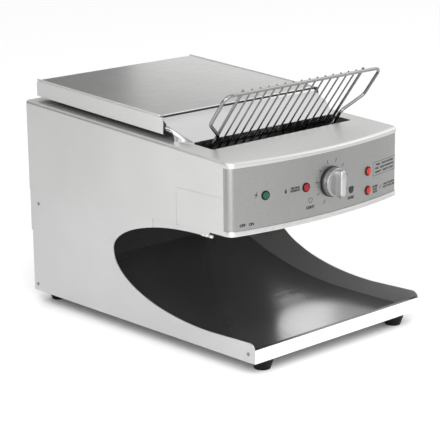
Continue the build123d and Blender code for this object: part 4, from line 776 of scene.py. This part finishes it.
        cap_u, cap_v = np.concatenate([u, u[-1:] * 0.02]), np.concatenate([v, v[-1:] * 0.02])
        cap_w = np.concatenate([w, w[-1:] + 0.15])
        grip = mesh_object("knob_grip", axes.points(cap_u, cap_v, cap_w),
                           grid_faces(23, 64, wrap_columns=True))
        # Moulded plastic under vacuum-laid aluminium: bright, softer than plated metal.
        metallised = PlainFinish("metallised_knob", "#9a9a9b", 0.9, 0.2, 1.2, 0.03, 0.05).make()
        bright = PlainFinish("metallised_grip", "#b4b4b5", 0.85, 0.28, 1.2, 0.03, 0.03).make()
        black = PlainFinish("knob_black_abs", "#101011", 0.0, 0.4, 0.5, 0.1).make()
        for piece, material, slot in ((skirt, black, "black_plastic"), (barrel, metallised, "silver_knob"),
                                      (grip, bright, "silver_knob")):
            dress(piece, material)
            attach(piece, "speed_knob_body")
        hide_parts("speed_knob")

    def build(self) -> int:
        """Dress the fascia, print it and fit its lamps, buttons and knob.

        Returns:
            The number of pieces made.
        """
        before = len(bpy.data.objects)
        fascia = smooth_copy("fascia_panel")
        # Brushed along its length and lacquered: lines so fine that the bow shows as a soft sweep.
        dress(fascia, BrushedStainless("brushed_fascia_sheet", "#929291", Grain.ALONG_X, 0.30,
                                       contrast=0.03, bump=0.02).make())
        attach(fascia, "housing")
        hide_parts("fascia_panel")
        # Screen-printed enamel ink: flat black, faintly raised.
        ink = PlainFinish("screen_printed_ink", "#0d0d0e", 0.0, 0.5, 0.5, 0.02).make()
        self.print_words(ink)
        self.print_dial(ink)
        self.print_icons(ink)
        self.fit_lamps()
        self.fit_knob()
        return len(bpy.data.objects) - before


@dataclass
class Camera:
    """Long-lens camera standing off the front left corner, slightly above the deck."""

    place: tuple[float, float, float] = (-2042.08, -2189.86, 973.23)
    right: tuple[float, float, float] = (0.729396, -0.684004, -0.010993)
    up: tuple[float, float, float] = (0.176739, 0.172895, 0.968953)
    back: tuple[float, float, float] = (-0.660866, -0.708693, 0.246999)
    focal_px: float = 1703.0
    frame_px: float = 440.0
    sensor_mm: float = 36.0
    centre_px: tuple[float, float] = (220.3, 199.8)

    def build(self) -> None:
        """Place the camera and make it the scene's own."""
        data = bpy.data.cameras.new("view_camera")
        data.sensor_width = self.sensor_mm
        data.lens = self.focal_px / self.frame_px * self.sensor_mm
        data.shift_x = (self.frame_px / 2 - self.centre_px[0]) / self.frame_px
        data.shift_y = (self.centre_px[1] - self.frame_px / 2) / self.frame_px
        camera = bpy.data.objects.new("view_camera", data)
        bpy.context.scene.collection.objects.link(camera)
        turn = Matrix((self.right, self.up, self.back)).transposed().to_4x4()
        camera.matrix_world = Matrix.Translation(Vector(self.place) * MM) @ turn
        bpy.context.scene.camera = camera
        bpy.context.scene.view_settings.view_transform = "Standard"


@dataclass(frozen=True)
class SkyPatch:
    """A soft-edged patch of the studio sky: a lit diffuser, or a flag where its strength is negative."""

    toward: tuple[float, float, float]
    inner: float                   # degrees from the middle that are at full strength
    outer: float                   # degrees from the middle where it has faded out
    strength: float


@dataclass(frozen=True)
class SoftBox:
    """A square lamp that hangs at a place and faces a point of the object."""

    place: tuple[float, float, float]
    aim: tuple[float, float, float]
    size: float
    power: float


@dataclass
class Studio:
    """Plain pale floor, soft boxes and a sky of diffusers and flags for the metal to reflect."""

    floor_tone: str = "#fbfbfb"
    floor_half: float = 8000.0
    sky: float = 0.444             # level where no patch reaches
    patches: tuple[SkyPatch, ...] = (
        SkyPatch((0.0, 0.0, 1.0), 10.0, 75.0, 0.635),
        SkyPatch((-0.95, 0.2, 0.25), 15.0, 80.0, -0.4),
        SkyPatch((0.66, 0.71, 0.3), 4.0, 24.0, -0.122),
        SkyPatch((0.66, 0.71, 0.05), 4.0, 24.0, -0.4),
        SkyPatch((0.85, -0.5, 0.2), 10.0, 60.0, 0.38),
        SkyPatch((-0.6, -0.75, 0.25), 10.0, 60.0, 1.098),
        SkyPatch((-1.0, 0.0, 0.3), 10.0, 50.0, 0.037),
        SkyPatch((0.95, 0.3, 0.3), 10.0, 45.0, 0.83),
    )
    boxes: tuple[SoftBox, ...] = (
        SoftBox((-1.6, -2.2, 2.6), (0.0, 0.0, 0.2), 2.4, 17.6),
        SoftBox((2.4, -1.6, 2.0), (0.0, 0.0, 0.2), 2.0, 16.18),
        SoftBox((-1.3, -1.6, 0.5), (-0.2, -0.28, 0.2), 0.7, 6.0),
        SoftBox((0.9, 0.9, 0.55), (0.1, 0.1, 0.42), 0.5, 1.16),
        SoftBox((0.25, -1.3, 0.3), (0.0, -0.28, 0.15), 0.7, 0.27),
        SoftBox((-0.9, -0.7, 0.45), (-0.2, -0.25, 0.2), 0.5, 2.4),
        SoftBox((-1.0, 0.45, 0.22), (-0.2, -0.2, 0.2), 0.6, 0.5),
        SoftBox((-0.75, -0.1, 0.75), (-0.2, -0.2, 0.2), 0.5, 2.0),
    )

    def build(self) -> int:
        """Lay the floor, hang the lamps and light the world.

        Returns:
            The number of lamps.
        """
        half = self.floor_half
        corner = np.array([[-half, -half, 0], [half, -half, 0], [half, half, 0], [-half, half, 0]])
        floor = mesh_object("studio_floor", corner, np.array([[0, 1, 2, 3]]), smooth=False)
        dress(floor, PlainFinish("pale_studio_floor", self.floor_tone, roughness=0.9, texture_mm=5.0,
                                 bump=0.0, mottling=0.0).make())
        for number, box in enumerate(self.boxes):
            self.hang(number, box)
        self.light_sky()
        return len(self.boxes)

    def hang(self, number: int, box: SoftBox) -> None:
        """Hang one soft box; the camera doesn't see the lamp itself."""
        lamp = bpy.data.lights.new(f"soft_box_{number}", "AREA")
        lamp.shape = "SQUARE"
        lamp.size = box.size
        lamp.energy = box.power
        holder = bpy.data.objects.new(f"soft_box_{number}", lamp)
        bpy.context.scene.collection.objects.link(holder)
        holder.location = box.place
        holder.rotation_euler = (Vector(box.aim) - Vector(box.place)).to_track_quat("-Z", "Y").to_euler()
        holder.visible_camera = False

    def light_sky(self) -> None:
        """Light the world: sky level plus each patch, faded smoothly by the angle from its middle."""
        world = bpy.data.worlds.new("studio_sky")
        bpy.context.scene.world = world
        world.use_nodes = True
        way = add_node(world, "TexCoord").outputs["Generated"]
        level = self.sky
        for patch in self.patches:
            toward = add_node(world, "VectorMath", {"operation": "DOT_PRODUCT"}, {
                0: way, 1: tuple(Vector(patch.toward).normalized())})
            part = add_node(world, "MapRange", {"interpolation_type": "SMOOTHSTEP"}, {
                "Value": toward.outputs["Value"], "From Min": cos(radians(patch.outer)),
                "From Max": cos(radians(patch.inner)), "To Min": 0.0, "To Max": patch.strength})
            total = add_node(world, "Math", {"operation": "ADD"}, {0: level, 1: part.outputs[0]})
            level = total.outputs[0]
        background = world.node_tree.nodes["Background"]
        background.inputs["Color"].default_value = (1, 1, 1, 1)
        world.node_tree.links.new(level, background.inputs["Strength"])


def main() -> None:
    """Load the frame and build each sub-assembly in order."""
    logging.basicConfig(level=logging.INFO, format="%(name)s: %(message)s")
    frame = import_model()
    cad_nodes.update(frame["nodes"])
    Camera().build()
    for assembly in (Sheetwork(), PlateTrim(), Metalwork(), BowedFront(), Studio()):
        made = assembly.build()
        log.info("%s: made %s", type(assembly).__name__, made)


if __name__ == "__main__":
    main()
